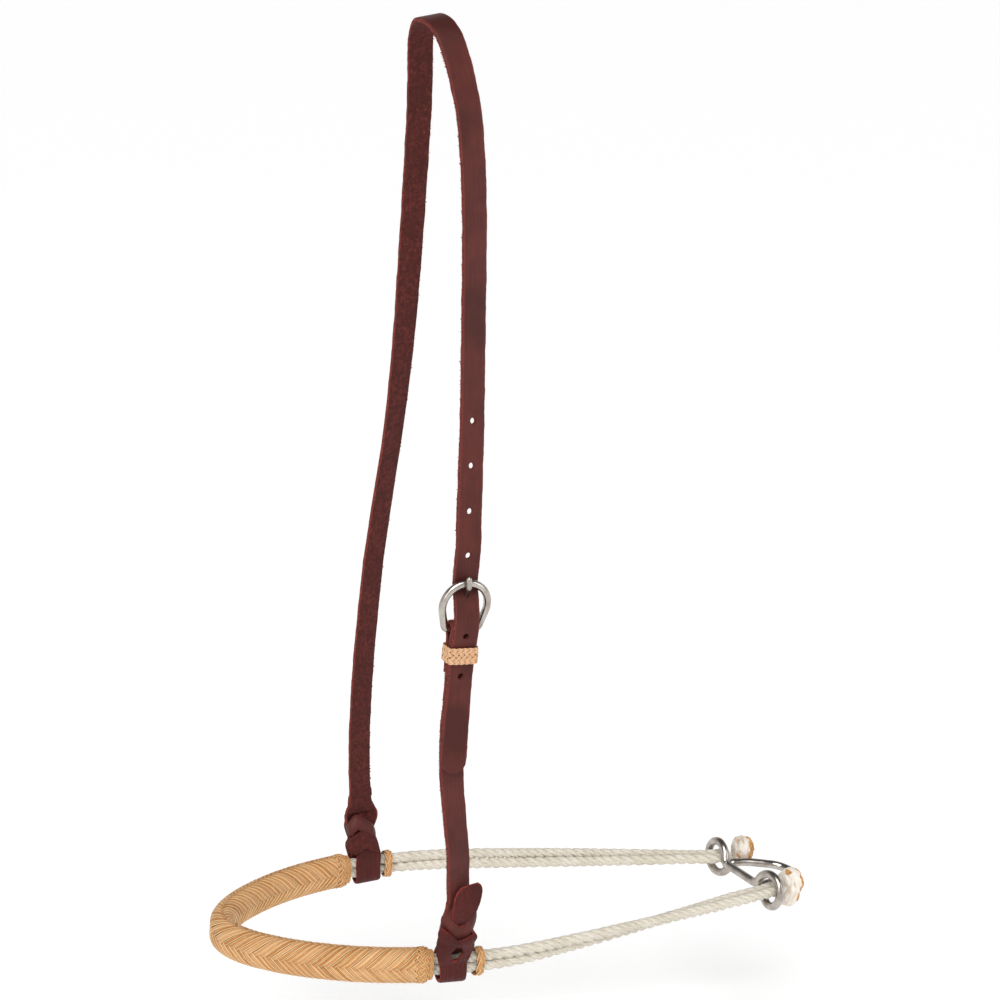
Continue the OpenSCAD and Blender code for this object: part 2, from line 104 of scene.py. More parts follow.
CHEEK_ROUTE = [(-21, -82, -510, 12, 0), (-21, -82, -496, 12, 0), (-21, -82, -480, 13, 0),
               (-21.6, -79.5, -460, 12, 0), (-21.9, -76.3, -440, 9, 0), (-21.2, -73.7, -420, 4, 2),
               (-19.6, -71.8, -405, 1, 4)]
# the arch over the poll, as far as it is like on both sides: x, y, z, far turn, near turn, lean
ARCH = [(1.2, 11, -0.8, 0, 0, -8), (2.8, 20, -7, 0, 0, -8), (4.4, 26.3, -17.5, 0, 0, -6),
        (6, 31, -30, 0, 0, -4), (7.4, 35, -43, 0, 2, -2), (8, 38.8, -60, 2, 4, 0),
        (7.9, 42, -80, 3, 6, 0), (7.4, 44.6, -100, 4, 7, 0), (6.6, 46.5, -120, 5, 8, 0),
        (5.6, 48.2, -140, 6, 8, 0), (4.5, 49.8, -160, 8, 8, 0), (3.4, 51.6, -180, 11, 8, 0),
        (2.1, 53.6, -200, 14, 8, 0)]
# y and z from the buckle's bar
BILLET_RUN = [(0.6, 46), (0.6, 36), (0.6, 30), (0.4, 26), (-0.8, 22.4), (-2.8, 18.6),
              (-4.7, 14.6), (-6.2, 10.6), (-6.95, 6.6), (-7, 3), (-7, 0), (-6.6, -4),
              (-5.6, -8.5), (-4.8, -12), (-4.6, -16), (-4.6, -28), (-4.6, TAIL_Z)]
FOLD_UP = [(-1.5, -50), (-1.5, -40), (-1.5, -30), (-1.5, -20), (-1.5, -12), (-2.3, -7.5),
           (-3.3, -3.6)]
FOLD_DOWN = [(3.3, -3.6), (2.3, -7.5), (1.5, -12), (1.5, -20), (1.5, -27)]
FOLD_R = BUCKLE_WIRE / 2 + 0.15 + HALF_T
TONGUE_RUN = [(-0.3, 3.2), (-0.2, 9), (-0.3, 14), (-1, 18), (-2.9, 21.4), (-5.8, 24.4),
              (-8.7, 27.6), (-9.1, 30.6), (-9, 33.8)]
# x, y, z from the buckle's bar, turn about Z, share of the full width
TAIL_RUN = [(-0.2, -5.3, -50, -4, 1), (-0.7, -7, -60, -8, 1), (-1.5, -8.9, -70, -11, 1),
            (-2.1, -10.4, -78, -13, 1), (-2.3, -10.9, -81.5, -13, 0.9),
            (-2.4, -11.2, -84, -13, 0.68), (-2.5, -11.4, -85.5, -13, 0.34)]
HOLE_Z = [-222.5, -248, -273.5, -299]
HOLE_R, HOLE_PITCH = 1.8, 25.4


def rot_x(a):
    c, s = math.cos(rad(a)), math.sin(rad(a))
    return np.array([[1, 0, 0], [0, c, -s], [0, s, c]])


def rot_y(a):
    c, s = math.cos(rad(a)), math.sin(rad(a))
    return np.array([[c, 0, s], [0, 1, 0], [-s, 0, c]])


def rot_z(a):
    c, s = math.cos(rad(a)), math.sin(rad(a))
    return np.array([[c, -s, 0], [s, c, 0], [0, 0, 1]])


def in_noseband(p):
    return np.asarray(p, float) @ rot_y(NOSE_TILT).T + NOSE_AT


def at_bar(p):
    return np.asarray(p, float) @ rot_y(BAR_LEAN).T + BAR_AT


def in_ring(p):
    turn = rot_z(RING_YAW) @ rot_y(RING_DROOP)
    return in_noseband(np.asarray(p, float) @ turn.T + RING_AT)


def unit(v):
    v = np.asarray(v, float)
    n = np.linalg.norm(v, axis=-1, keepdims=True)
    return v / np.where(n < 1e-12, 1, n)


def square(v, t):
    """The direction of v once its part along t is taken away."""
    return unit(v - (v * t).sum(-1, keepdims=True) * t)


# ---------------------------------------------------------------- curves
def lengths(p):
    """Length along a line of points, at each point."""
    return np.concatenate([[0], np.cumsum(np.linalg.norm(np.diff(p, axis=0), axis=1))])


def tangents(p, closed):
    return unit(np.roll(p, -1, 0) - np.roll(p, 1, 0) if closed else np.gradient(p, axis=0))


def hermite(rows, t, slope, i, u):
    """Rows at share u of the way from row i to the next, on a curve with the given slopes."""
    d = t[i + 1] - t[i]
    return ((2 * u ** 3 - 3 * u ** 2 + 1) * rows[i] + (u ** 3 - 2 * u ** 2 + u) * d * slope[i]
            + (3 * u ** 2 - 2 * u ** 3) * rows[i + 1] + (u ** 3 - u ** 2) * d * slope[i + 1])


def smooth_curve(points, step):
    """Dense rows along a smooth curve through the points. The first three columns are x, y, z."""
    p = np.array(points, float)
    t = lengths(p[:, :3])
    slope = np.gradient(p, t, axis=0)
    rows = []
    for i in range(len(p) - 1):
        n = max(1, math.ceil((t[i + 1] - t[i]) / step))
        rows.append(hermite(p, t, slope, i, np.arange(n)[:, None] / n))
    return np.vstack(rows + [p[-1:]])


def eased(rows, count):
    """The same smooth curve as an even count of rows."""
    rows = np.array(rows, float)
    t = lengths(rows[:, :3])
    slope = np.gradient(rows, t, axis=0)
    out = []
    for x in np.linspace(0, t[-1], count):
        i = min(int(np.searchsorted(t, x, side="right")) - 1, len(t) - 2)
        out.append(hermite(rows, t, slope, i, (x - t[i]) / (t[i + 1] - t[i])))
    return np.array(out)


def wobble(s, seed, waves, shortest, longest):
    """Smooth repeatable noise along a length, about -1 to 1."""
    g = np.random.default_rng(seed)
    total = np.zeros(len(s))
    for k in range(waves):
        wave = shortest * (longest / shortest) ** (k / (waves - 1))
        total += math.sqrt(wave) * np.sin(2 * math.pi * (s / wave + g.random()))
    return total / (1.6 * math.sqrt(longest))


def lumps(p, seed, size):
    """Smooth repeatable noise at points in space, about -1 to 1, with lumps of the given size."""
    g = np.random.default_rng(seed)
    total = np.zeros(len(p))
    for _ in range(9):
        way = g.normal(size=3)
        wave = 2 * math.pi / (size * g.uniform(0.7, 1.5))
        total += np.sin(p @ (way / np.linalg.norm(way)) * wave + g.uniform(0, 2 * math.pi))
    return total / 3.6


class Route:
    """A curve with a frame: t along it, side across it and out from its face.

    A strap's points also hold its turn and lean, which set side, and its share of the width."""

    def __init__(self, points, is_strap=False):
        rows = smooth_curve(points, 0.5)
        self.p = rows[:, :3]
        self.s = lengths(self.p)
        self.length = self.s[-1]
        self.t = unit(np.gradient(self.p, self.s, axis=0))
        if is_strap:
            turn, lean = np.radians(rows[:, 3]), np.radians(rows[:, 4])
            along = np.stack([np.cos(turn) * np.cos(lean), np.sin(turn), -np.sin(lean)], 1)
            self.side = square(along, self.t)
            self.share = rows[:, 5]
        else:
            self.side = unit(np.cross([0, 0, 1.0], self.t))
            self.share = np.ones(len(self.s))

    def at(self, s):
        """Point, t, side, out and share of the width at length s."""
        def pick(a):
            return np.stack([np.interp(s, self.s, a[:, k]) for k in range(3)], -1)
        t = unit(pick(self.t))
        side = square(pick(self.side), t)
        return pick(self.p), t, side, np.cross(t, side), np.interp(s, self.s, self.share)

    def level(self, height, start):
        """Length past start at which the route comes nearest to a height."""
        ok = self.s >= start
        return self.s[ok][np.argmin(abs(self.p[ok][:, 2] - height))]

    def nearest(self, point):
        return self.s[np.argmin(np.linalg.norm(self.p - point, axis=1))]


# ---------------------------------------------------------------- mesh making
class Builder:
    """Shapes with attributes, gathered into one mesh."""

    def __init__(self):
        self.v, self.f, self.a = [], [], []
        self.count = 0

    def add(self, verts, faces, **attributes):
        """Each attribute is one number for the whole shape or one for each of its points."""
        verts = np.asarray(verts, float).reshape(-1, 3)
        self.f += [tuple(int(i) + self.count for i in f) for f in faces]
        self.v.append(verts)
        self.a.append(attributes)
        self.count += len(verts)

    def make(self, name, material, sharp=0):
        mesh = bpy.data.meshes.new(name)
        mesh.from_pydata((np.vstack(self.v) * MM).tolist(), [], self.f)
        for k in sorted({k for a in self.a for k in a}):
            rows = [np.broadcast_to(a.get(k, 0.0), len(v)) for v, a in zip(self.v, self.a)]
            layer = mesh.attributes.new(k, "FLOAT", "POINT")
            layer.data.foreach_set("value", np.concatenate(rows).astype(np.float32))
        mesh.polygons.foreach_set("use_smooth", [True] * len(mesh.polygons))
        mesh.update()
        mesh.validate()
        if sharp:
            mesh.set_sharp_from_angle(angle=rad(sharp))
        obj = bpy.data.objects.new(name, mesh)
        bpy.context.scene.collection.objects.link(obj)
        mesh.materials.append(material)
        return obj


def stand_for(piece, node):
    """The piece takes a CAD node's place: the node is hidden."""
    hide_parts(node)


def attach(piece, body, node):
    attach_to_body(piece, body)
    stand_for(piece, node)


def end_caps(m, n):
    return [tuple(range(n - 1, -1, -1)), tuple((m - 1) * n + j for j in range(n))]


def ring_faces(m, n, closed=False):
    """Quads over m rings of n points each, with the ends closed by caps or by joining up."""
    faces = [(i * n + j, i * n + (j + 1) % n, (i + 1) % m * n + (j + 1) % n, (i + 1) % m * n + j)
             for i in range(m if closed else m - 1) for j in range(n)]
    return faces if closed else faces + end_caps(m, n)


def tube(b, p, radius, n, closed=False):
    """A round tube along points p, with frames carried along without twist."""
    m = len(p)
    t = tangents(p, closed)
    us = [unit(np.cross(t[0], [0.31, 0.2, 0.93]))]
    for row in t:
        us.append(square(us[-1], row))
    us = np.array(us[1:])
    ws = np.cross(t, us)
    if closed:
        # spreads what the frame has turned by over the whole loop
        off = math.atan2(us[-1].dot(ws[0]), us[-1].dot(us[0]))
        a = -off * np.arange(m)[:, None] / m
        us, ws = us * np.cos(a) + ws * np.sin(a), ws * np.cos(a) - us * np.sin(a)
    around = (np.arange(n) * 2 * math.pi / n)[None, :, None]
    r = np.broadcast_to(radius, m)[:, None, None]
    rings = p[:, None] + r * (us[:, None] * np.cos(around) + ws[:, None] * np.sin(around))
    b.add(rings, ring_faces(m, n, closed))


# ---------------------------------------------------------------- straps
# section of a strap: the grain face, an edge, the flesh face, then the other edge
GRID_V = [-6.9, -5.2, -3.3, -1.65, 0, 1.65, 3.3, 5.2, 6.9]
EDGE = [(HALF_W - 0.55, HALF_T - 0.12), (HALF_W - 0.12, HALF_T - 0.6), (HALF_W, 0),
        (HALF_W - 0.12, 0.6 - HALF_T), (HALF_W - 0.5, 0.1 - HALF_T)]
SECTION = np.array([(v, HALF_T) for v in GRID_V] + EDGE + [(v, -HALF_T) for v in GRID_V[::-1]]
                   + [(-v, z) for v, z in EDGE[::-1]])
# 1 on the grain face, 0 in the middle of a cut edge, -1 on the flesh face
EDGE_SKIN = [0.75, 0.1, 0, -0.2, -0.85]
SKIN = np.array([1.0] * len(GRID_V) + EDGE_SKIN + [-1.0] * len(GRID_V) + EDGE_SKIN[::-1])
BACK = len(GRID_V) + len(EDGE)
# a hole takes up these columns of the face, and this much leather before and after it
HOLE_COLS = range(2, 6)
HOLE_HALF, HOLE_EDGE = 3.3, 1.6


def strap_rows(s0, s1, holes):
    """Lengths of a strap's rows: even ones along each hole, and steps of up to 1.8 between."""
    marks = [s0, s1]
    for mid, long, *_ in holes:
        reach = long + HOLE_EDGE
        marks += list(np.linspace(mid - reach, mid + reach, max(4, round(2 * reach / 1.7)) + 1))
    marks = sorted(marks)
    rows = []
    for a, c in zip(marks, marks[1:]):
        rows += list(np.linspace(a, c, max(1, math.ceil((c - a) / 1.8 - 1e-6)) + 1)[:-1])
    return np.array(rows + marks[-1:])


def rim_point(s, v, hole, grow):
    """Where a point of the grid round a hole lies on the hole's rim."""
    _, long, wide, shape = hole
    if shape == "box":
        return s * (long + grow) / (long + HOLE_EDGE), v * (wide + grow) / HOLE_HALF
    straight = max(long - wide, 0)
    e = np.clip(s, -straight, straight)
    ahead = (s - e) / HOLE_EDGE if straight else s / (long + HOLE_EDGE)
    a = math.atan2(v / HOLE_HALF, ahead)
    return e + (wide + grow) * math.cos(a), (wide + grow) * math.sin(a)


def punch(route, rows, hole, grain, first):
    """A hole's wall: rows of x, y, z, skin, along, across, and its faces. Its points count from
    first, and the grid's from 0."""
    mid, reach = hole[0], hole[1] + HOLE_EDGE
    i0, i1 = [int(np.argmin(abs(rows - s))) for s in (mid - reach, mid + reach)]
    j0, j1 = HOLE_COLS.start, HOLE_COLS.stop
    loop = [(i, j0) for i in range(i0, i1)] + [(i1, j) for j in range(j0, j1)]
    loop += [(i, j1) for i in range(i1, i0, -1)] + [(i0, j) for j in range(j1, j0, -1)]
    points = []
    for grow, height, skin in ((0.3, HALF_T, 1), (0, HALF_T - 0.35, 0), (0, 0.35 - HALF_T, 0),
                               (0.3, -HALF_T, -1)):
        for i, j in loop:
            s, v = rim_point(rows[i] - mid, GRID_V[j], hole, grow)
            p, _, side, out, _ = route.at(mid + s)
            points.append((*(p + side * v + out * grain * height), skin, mid + s, v))
    n, count = len(SECTION), len(loop)
    rims = [[i * n + j for i, j in loop]]
    rims += [range(first + k * count, first + (k + 1) * count) for k in range(4)]
    rims += [[i * n + BACK + len(GRID_V) - 1 - j for i, j in loop]]
    return points, [(x[q], y[q], y[(q + 1) % count], x[(q + 1) % count])
                    for x, y in zip(rims, rims[1:]) for q in range(count)]


def strap(name, route, s0, s1, grain, holes, seed):
    """A flat strap from s0 to s1 with rounded raw edges and real holes.

    grain is the side of the face that is smooth: 1 along out, -1 against it. A hole is
    (middle, half length, half width, shape) along and across the strap."""
    rows = strap_rows(s0, s1, holes)
    m, n = len(rows), len(SECTION)
    p, t, side, out, share = route.at(rows)
    flat_v = SECTION[:, 0]
    ragged = np.stack([wobble(rows, seed * 31 + (0 if v > 0 else 7), 6, 1.6, 30)
                       for v in flat_v], 1)
    rough = np.where(abs(SKIN) < 0.5, 0.16, 0.05) * (abs(flat_v) > 7)
    v = flat_v * share[:, None] + np.sign(flat_v) * ragged * rough
    z = SECTION[:, 1] + 0.06 * wobble(rows, seed * 17, 4, 9, 60)[:, None] * (SKIN > 0.9)
    verts = p[:, None] + side[:, None] * v[:, :, None] + out[:, None] * grain * z[:, :, None]
    faces = end_caps(m, n)
    for i in range(m - 1):
        middle = (rows[i] + rows[i + 1]) / 2
        cut = any(abs(middle - hole[0]) < hole[1] + HOLE_EDGE for hole in holes)
        faces += [(i * n + j, i * n + (j + 1) % n, (i + 1) * n + (j + 1) % n, (i + 1) * n + j)
                  for j in range(n) if not (cut and (j in HOLE_COLS or j - BACK in HOLE_COLS))]
    rims = []
    for hole in holes:
        points, walls = punch(route, rows, hole, grain, m * n + len(rims))
        rims += points
        faces += walls
    if grain < 0:
        faces = [f[::-1] for f in faces]
    grid = np.column_stack([verts.reshape(-1, 3), np.tile(SKIN, m), np.repeat(rows, n), v.reshape(-1)])
    every = np.vstack([grid] + rims)
    b = Builder()
    b.add(every[:, :3], faces, skin=every[:, 3], along=every[:, 4], across=every[:, 5])
    fibres(b, route, s0 + 1, s1 - 1, grain, seed)
    return b.make(name, LEATHER, 40)


def fibres(b, route, s0, s1, grain, seed):
    """Short ragged nibs of flesh fibre along the raw edges of a strap."""
    g = np.random.default_rng(900 + seed)
    for _ in range(int((s1 - s0) * 0.95)):
        s = g.uniform(s0, s1)
        edge = 1 if g.random() < 0.4 else -1
        size = g.uniform(0.25, 0.62) * (1.35 if g.random() < 0.12 else 1)
        p, t, side, out, share = route.at(s)
        up = out * grain
        base = p + side * edge * (HALF_W * share - 0.2) + up * g.uniform(-HALF_T, -0.1)
        axis = unit(side * edge + t * g.uniform(-0.7, 0.7) + up * g.uniform(-0.6, 0.2))
        a = unit(np.cross(axis, out))
        c = np.cross(axis, a)
        fat = size * g.uniform(0.45, 0.8)
        points = [base + a * fat * g.uniform(0.7, 1.3), base - a * fat * 0.5 + c * fat * 0.5,
                  base - a * fat * 0.5 - c * fat * 0.5, base + axis * (size + 0.2)]
        b.add(points, [(0, 2, 1), (0, 1, 3), (1, 2, 3), (2, 0, 3)], skin=-0.6, along=s,
              across=edge * HALF_W)


# ---------------------------------------------------------------- materials
def srgb(code):
    """Linear colour from a six-digit sRGB code."""
    rgb = [int(code[i:i + 2], 16) / 255 for i in (0, 2, 4)]
    return tuple(c / 12.92 if c <= 0.04045 else ((c + 0.055) / 1.055) ** 2.4 for c in rgb)


class Nodes:
    """Short names for the shader nodes used below."""

    def __init__(self, tree):
        self.tree = tree

    def add(self, kind, **values):
        node = self.tree.nodes.new(kind)
        for k, v in values.items():
            setattr(node, k, v)
        return node

    def put(self, socket, value):
        """Sets an input to a number, a tuple or an sRGB code, or links it to an output."""
        if isinstance(value, bpy.types.NodeSocket):
            self.tree.links.new(value, socket)
        else:
            socket.default_value = (*srgb(value), 1.0) if isinstance(value, str) else value

    def made(self, node, out, **inputs):
        """Puts the inputs into a node and gives one of its outputs."""
        for name, value in inputs.items():
            self.put(node.inputs[name], value)
        return node.outputs[out]

    def attribute(self, name):
        return self.add("ShaderNodeAttribute", attribute_name=name).outputs["Fac"]

    def place(self, kind="Object"):
        return self.add("ShaderNodeTexCoord").outputs[kind]

    def noise(self, vector, scale, detail=4.0, rough=0.55):
        return self.made(self.add("ShaderNodeTexNoise"), "Fac", Vector=vector, Scale=scale,
                         Detail=detail, Roughness=rough)

    def voronoi(self, vector, scale, feature="DISTANCE_TO_EDGE"):
        return self.made(self.add("ShaderNodeTexVoronoi", feature=feature), "Distance",
                         Vector=vector, Scale=scale)

    def math(self, op, a, b=0.0, clamp=False):
        node = self.add("ShaderNodeMath", operation=op, use_clamp=clamp)
        self.put(node.inputs[0], a)
        self.put(node.inputs[1], b)
        return node.outputs[0]

    def times(self, a, b):
        return self.math("MULTIPLY", a, b)

    def strip(self, name, a, b):
        """A place on a strip: an attribute times a, and the length along it times b."""
        return self.made(self.add("ShaderNodeCombineXYZ"), 0, X=self.times(self.attribute(name), a),
                         Y=self.times(self.attribute("along"), b))

    def span(self, value, lo, hi, a=0.0, b=1.0):
        node = self.add("ShaderNodeMapRange", interpolation_type="SMOOTHSTEP")
        for k, x in (("Value", value), ("From Min", lo), ("From Max", hi), ("To Min", a),
                     ("To Max", b)):
            self.put(node.inputs[k], x)
        return node.outputs[0]

    def mix(self, fac, a, b):
        node = self.add("ShaderNodeMix", data_type="RGBA")
        # the sockets of a colour mix: factor, A and B
        for k, value in ((0, fac), (6, a), (7, b)):
            self.put(node.inputs[k], value)
        return node.outputs[2]

    def patch(self, colour, other, where, lo, hi, most=1.0):
        """Turns a colour into another as where goes from lo to hi."""
        return self.mix(self.span(where, lo, hi, 0.0, most), colour, other)

    def bump(self, height, strength, distance, after=None):
        node = self.add("ShaderNodeBump")
        normal = self.made(node, 0, Height=height, Strength=strength, Distance=distance)
        if after is not None:
            self.put(node.inputs["Normal"], after)
        return normal


def new_material(name):
    m = bpy.data.materials.new(name)
    m.use_nodes = True
    return m, Nodes(m.node_tree)


def finish_material(m, n, colour, rough, normal, **values):
    """Wires up the shader. Further inputs are named with _ for each space."""
    inputs = m.node_tree.nodes["Principled BSDF"].inputs
    for k, v in {"Base Color": colour, "Roughness": rough, "Normal": normal, **values}.items():
        n.put(inputs[k.replace("_", " ")], v)
    return m


def leather_material(name, grain, dark, flesh, edge, gloss, pebble):
    m, n = new_material(name)
    place, skin = n.place(), n.attribute("skin")
    streak = n.noise(n.strip("across", 0.9, 0.045), 1.1, 5.0, 0.6)
    colour = n.patch(grain, dark, n.noise(place, 28, 3), 0.35, 0.68)
    colour = n.patch(colour, dark, streak, 0.42, 0.72, 0.55)
    worn = n.span(n.math("ABSOLUTE", n.attribute("across")), 6.4, 7.9, 0, 0.5)
    colour = n.mix(worn, colour, edge)
    colour = n.patch(colour, dark, n.noise(place, 900, 2, 0.5), 0.52, 0.7, 0.22)
    pebbles = n.noise(place, 480, 4, 0.62)
    colour = n.patch(colour, dark, pebbles, 0.5, 0.68, 0.6 * pebble)
    # rough flesh side
    nap = n.noise(place, 420, 6, 0.75)
    rough_side = n.patch(flesh, edge, nap, 0.42, 0.72, 0.5)
    rough_side = n.patch(rough_side, dark, n.noise(place, 90, 4, 0.6), 0.4, 0.7, 0.5)
    colour = n.patch(colour, rough_side, skin, -0.25, -0.85)
    # raw cut edge
    fibre = n.noise(place, 700, 5, 0.7)
    raw = n.patch(edge, flesh, fibre, 0.35, 0.7)
    colour = n.mix(n.times(n.span(skin, -0.8, -0.3), n.span(skin, 0.85, 0.3)), colour, raw)
    rough = n.math("ADD", n.span(skin, 0.6, 0.95, 0.85, gloss),
                   n.times(n.math("SUBTRACT", streak, 0.5), 0.25), True)
    crease = n.span(n.voronoi(n.strip("across", 0.35, 0.16), 1.3), 0.0, 0.06)
    fine = n.times(n.voronoi(place, 1500, "F1"), n.span(skin, 0.5, 0.95))
    coarse = n.times(n.math("ADD", nap, fibre), n.span(skin, 0.6, 0.0))
    normal = n.bump(fine, 0.35, 0.00018)
    normal = n.bump(crease, 0.12, 0.0003, normal)
    normal = n.bump(coarse, 0.9, 0.0007, normal)
    normal = n.bump(pebbles, pebble, 0.0008, normal)
    return finish_material(m, n, colour, rough, normal, Specular_IOR_Level=0.2, Sheen_Weight=0.01,
                           Sheen_Roughness=0.5)


def rawhide_material(name, pale, tan, amber):
    m, n = new_material(name)
    place, tone = n.place(), n.attribute("tone")
    across = n.math("ABSOLUTE", n.attribute("across"))
    colour = n.patch(pale, tan, tone, 0.1, 0.6)
    colour = n.patch(colour, amber, tone, 0.72, 0.95, 0.75)
    speck = n.noise(place, 1300, 4, 0.7)
    colour = n.patch(colour, "BC8468", speck, 0.5, 0.72, 0.5)
    colour = n.patch(colour, "D6AE80", n.noise(place, 330, 4, 0.65), 0.5, 0.75, 0.55)
    colour = n.patch(colour, "B9823E", n.noise(place, 60, 3), 0.5, 0.75, 0.6)
    # painted highlight on the raised rims and painted shade in the grooves of each string
    rim = n.times(n.span(across, 0.55, 0.8), n.span(across, 0.97, 0.86))
    colour = n.mix(n.times(rim, 0.9), colour, "EFD09E")
    colour = n.patch(colour, "74451C", across, 0.88, 1.0, 0.9)
    # painted shade where a string goes under others, and on the beds beneath the braids
    colour = n.mix(n.attribute("deep"), colour, "7E4F26")
    normal = n.bump(n.noise(n.strip("across", 3.2, 0.35), 2.4, 4, 0.6), 0.35, 0.0004)
    normal = n.bump(speck, 0.45, 0.0003, normal)
    return finish_material(m, n, colour, n.span(speck, 0.3, 0.7, 0.42, 0.68), normal,
                           Subsurface_Weight=0.06, Subsurface_Radius=(0.002, 0.001, 0.0005),
                           Specular_IOR_Level=0.4)


def rope_material():
    m, n = new_material("twisted_nylon")
    place = n.place()
    yarn = n.math("ADD", n.times(n.attribute("around"), 5.0), n.times(n.attribute("along"), 1.9))
    ply = n.math("SINE", yarn)
    colour = n.patch("DFD8CA", "D3CBBA", n.noise(place, 55, 4), 0.35, 0.7)
    # painted shade in the grooves between the yarns, and more on the inner sides of the strands where
    # they meet
    colour = n.patch(colour, "C2B8A5", ply, -0.2, -1.0, 0.4)
    colour = n.patch(colour, "A89F8C", n.attribute("inside"), 0.25, 0.95, 0.7)
    colour = n.patch(colour, "D0C4AE", n.noise(place, 240, 3), 0.62, 0.8, 0.5)
    normal = n.bump(ply, 0.5, 0.00022)
    normal = n.bump(n.noise(n.strip("around", 9.0, 0.6), 2.2, 5, 0.7), 0.5, 0.0002, normal)
    rough = n.span(n.noise(place, 300, 3), 0.3, 0.7, 0.5, 0.72)
    return finish_material(m, n, colour, rough, normal, Subsurface_Weight=0.12,
                           Subsurface_Radius=(0.002, 0.0018, 0.0014), Sheen_Weight=0.15)


def rope_end_material():
    m, n = new_material("opened_rope_ends")
    place = n.place()
    colour = n.patch("EDE8DF", "DCCFBE", n.noise(place, 130, 4), 0.35, 0.65)
    colour = n.patch(colour, "F5F1EA", n.noise(place, 420, 4, 0.7), 0.55, 0.75, 0.5)
    patchy = n.times(n.math("SUBTRACT", n.noise(place, 260, 4), 0.5), 0.9)
    burnt = n.span(n.math("ADD", n.attribute("burnt"), patchy), 0.45, 0.75)
    scorch = n.patch("D09447", "A8702F", n.noise(place, 500, 3), 0.4, 0.6)
    colour = n.mix(burnt, colour, scorch)
    # painted shade in the hollows between the folds
    colour = n.patch(colour, "9C8060", n.attribute("deep"), 0.2, 0.9, 0.7)
    normal = n.bump(n.noise(n.strip("around", 11.0, 0.25), 2.0, 5, 0.7), 0.6, 0.0005)
    normal = n.bump(n.noise(place, 900, 4, 0.7), 0.4, 0.0003, normal)
    rough = n.math("SUBTRACT", 0.62, n.times(burnt, 0.3))
    return finish_material(m, n, colour, rough, normal, Subsurface_Weight=0.2,
                           Subsurface_Radius=(0.003, 0.0024, 0.0018))


def steel_material():
    m, n = new_material("stainless_wire")
    smear = n.noise(n.place(), 160, 5, 0.6)
    colour = n.patch("BDB6AF", "9E958D", smear, 0.35, 0.7)
    drawn = n.made(n.add("ShaderNodeMapping"), 0, Vector=n.place(), Scale=(1, 1, 5))
    normal = n.bump(n.noise(drawn, 700, 5, 0.7), 0.12, 0.0002)
    rough = n.span(smear, 0.3, 0.75, 0.13, 0.27)
    return finish_material(m, n, colour, rough, normal, Metallic=1.0)


def thread_material():
    m, n = new_material("waxed_thread")
    place = n.place()
    colour = n.patch("3A1B18", "25100F", n.noise(place, 900, 3), 0.35, 0.7)
    return finish_material(m, n, colour, 0.5, n.bump(n.noise(place, 2500, 2), 0.5, 0.0002))


LEATHER = leather_material("latigo_leather", "5A2823", "431D19", "481E1B", "8C4038", 0.45, 0.15)
PLAIT_LEATHER = leather_material("plaited_leather", "511B17", "35110E", "4A1D1A", "983F36", 0.55,
                                 0.9)
RAWHIDE = rawhide_material("rawhide_strings", "CA9560", "B87D42", "A76925")
FINE_RAWHIDE = rawhide_material("fine_rawhide", "D4A27E", "C8926A", "B47E4C")
ROPE = rope_material()
ROPE_END = rope_end_material()
STEEL = steel_material()
THREAD = thread_material()


# ---------------------------------------------------------------- headstall straps
def bar_row(run):
    return [(*at_bar((0, y, z)), 0, BAR_LEAN) for y, z in run]


def crown_rows():
    """Up the far cheek, over the poll and down to the buckle and the billet's tip."""
    rows = FAR_LOW + [(x, y, z, turn, lean) for x, y, z, turn, _, lean in reversed(ARCH)]
    rows += [(0, 0, 1.4, 0, -8)] + [(x, -y, z, turn, lean) for x, y, z, _, turn, lean in ARCH]
    rows = full_width(rows + NEAR_LOW + bar_row(BILLET_RUN))
    return rows + [(*at_bar((x, y, z)), turn, BAR_LEAN, share) for x, y, z, turn, share in TAIL_RUN]


def full_width(rows):
    return [(*row, 1) for row in rows]


def round_hole(s):
    return s, HOLE_R, HOLE_R, "round"


crown_route = Route(crown_rows(), True)
top_s = crown_route.s[np.argmax(crown_route.p[:, 2])]
split_s = crown_route.level(at_bar((0, BILLET_Y, KEEPER_Z))[2], top_s)
upper_hole = crown_route.nearest(at_bar((0, -6.7, -2.8)))
crown_holes = [round_hole(crown_route.level(z, top_s)) for z in HOLE_Z]
# the tongue's hole is pulled into a slot
crown_holes.append((crown_route.nearest(at_bar((0, -2.1, 20.1))) - 1.1, 1.9, 1.5, "round"))
crown_holes.append(round_hole(upper_hole))
crown = strap("crown_strap_leather", crown_route, 0.0, split_s, 1, crown_holes, 3)
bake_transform(crown)
stand_for(crown, "crown_strap")

billet = strap("billet_leather", crown_route, split_s, crown_route.length, 1,
               [round_hole(upper_hole + HOLE_PITCH)], 5)
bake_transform(billet)
stand_for(billet, "billet_tail")

arc = [polar(FOLD_R, a) for a in range(195, -16, -21)]
cheek_route = Route(full_width(CHEEK_ROUTE + bar_row(FOLD_UP + arc + FOLD_DOWN)), True)
fold_s = cheek_route.nearest(at_bar((0, 0, FOLD_R)))
cheek = strap("near_cheek_leather", cheek_route, 0.0, cheek_route.length, -1,
              [(fold_s - 0.4, 8.0, 2.4, "box")], 8)
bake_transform(cheek)
stand_for(cheek, "near_cheek_strap")


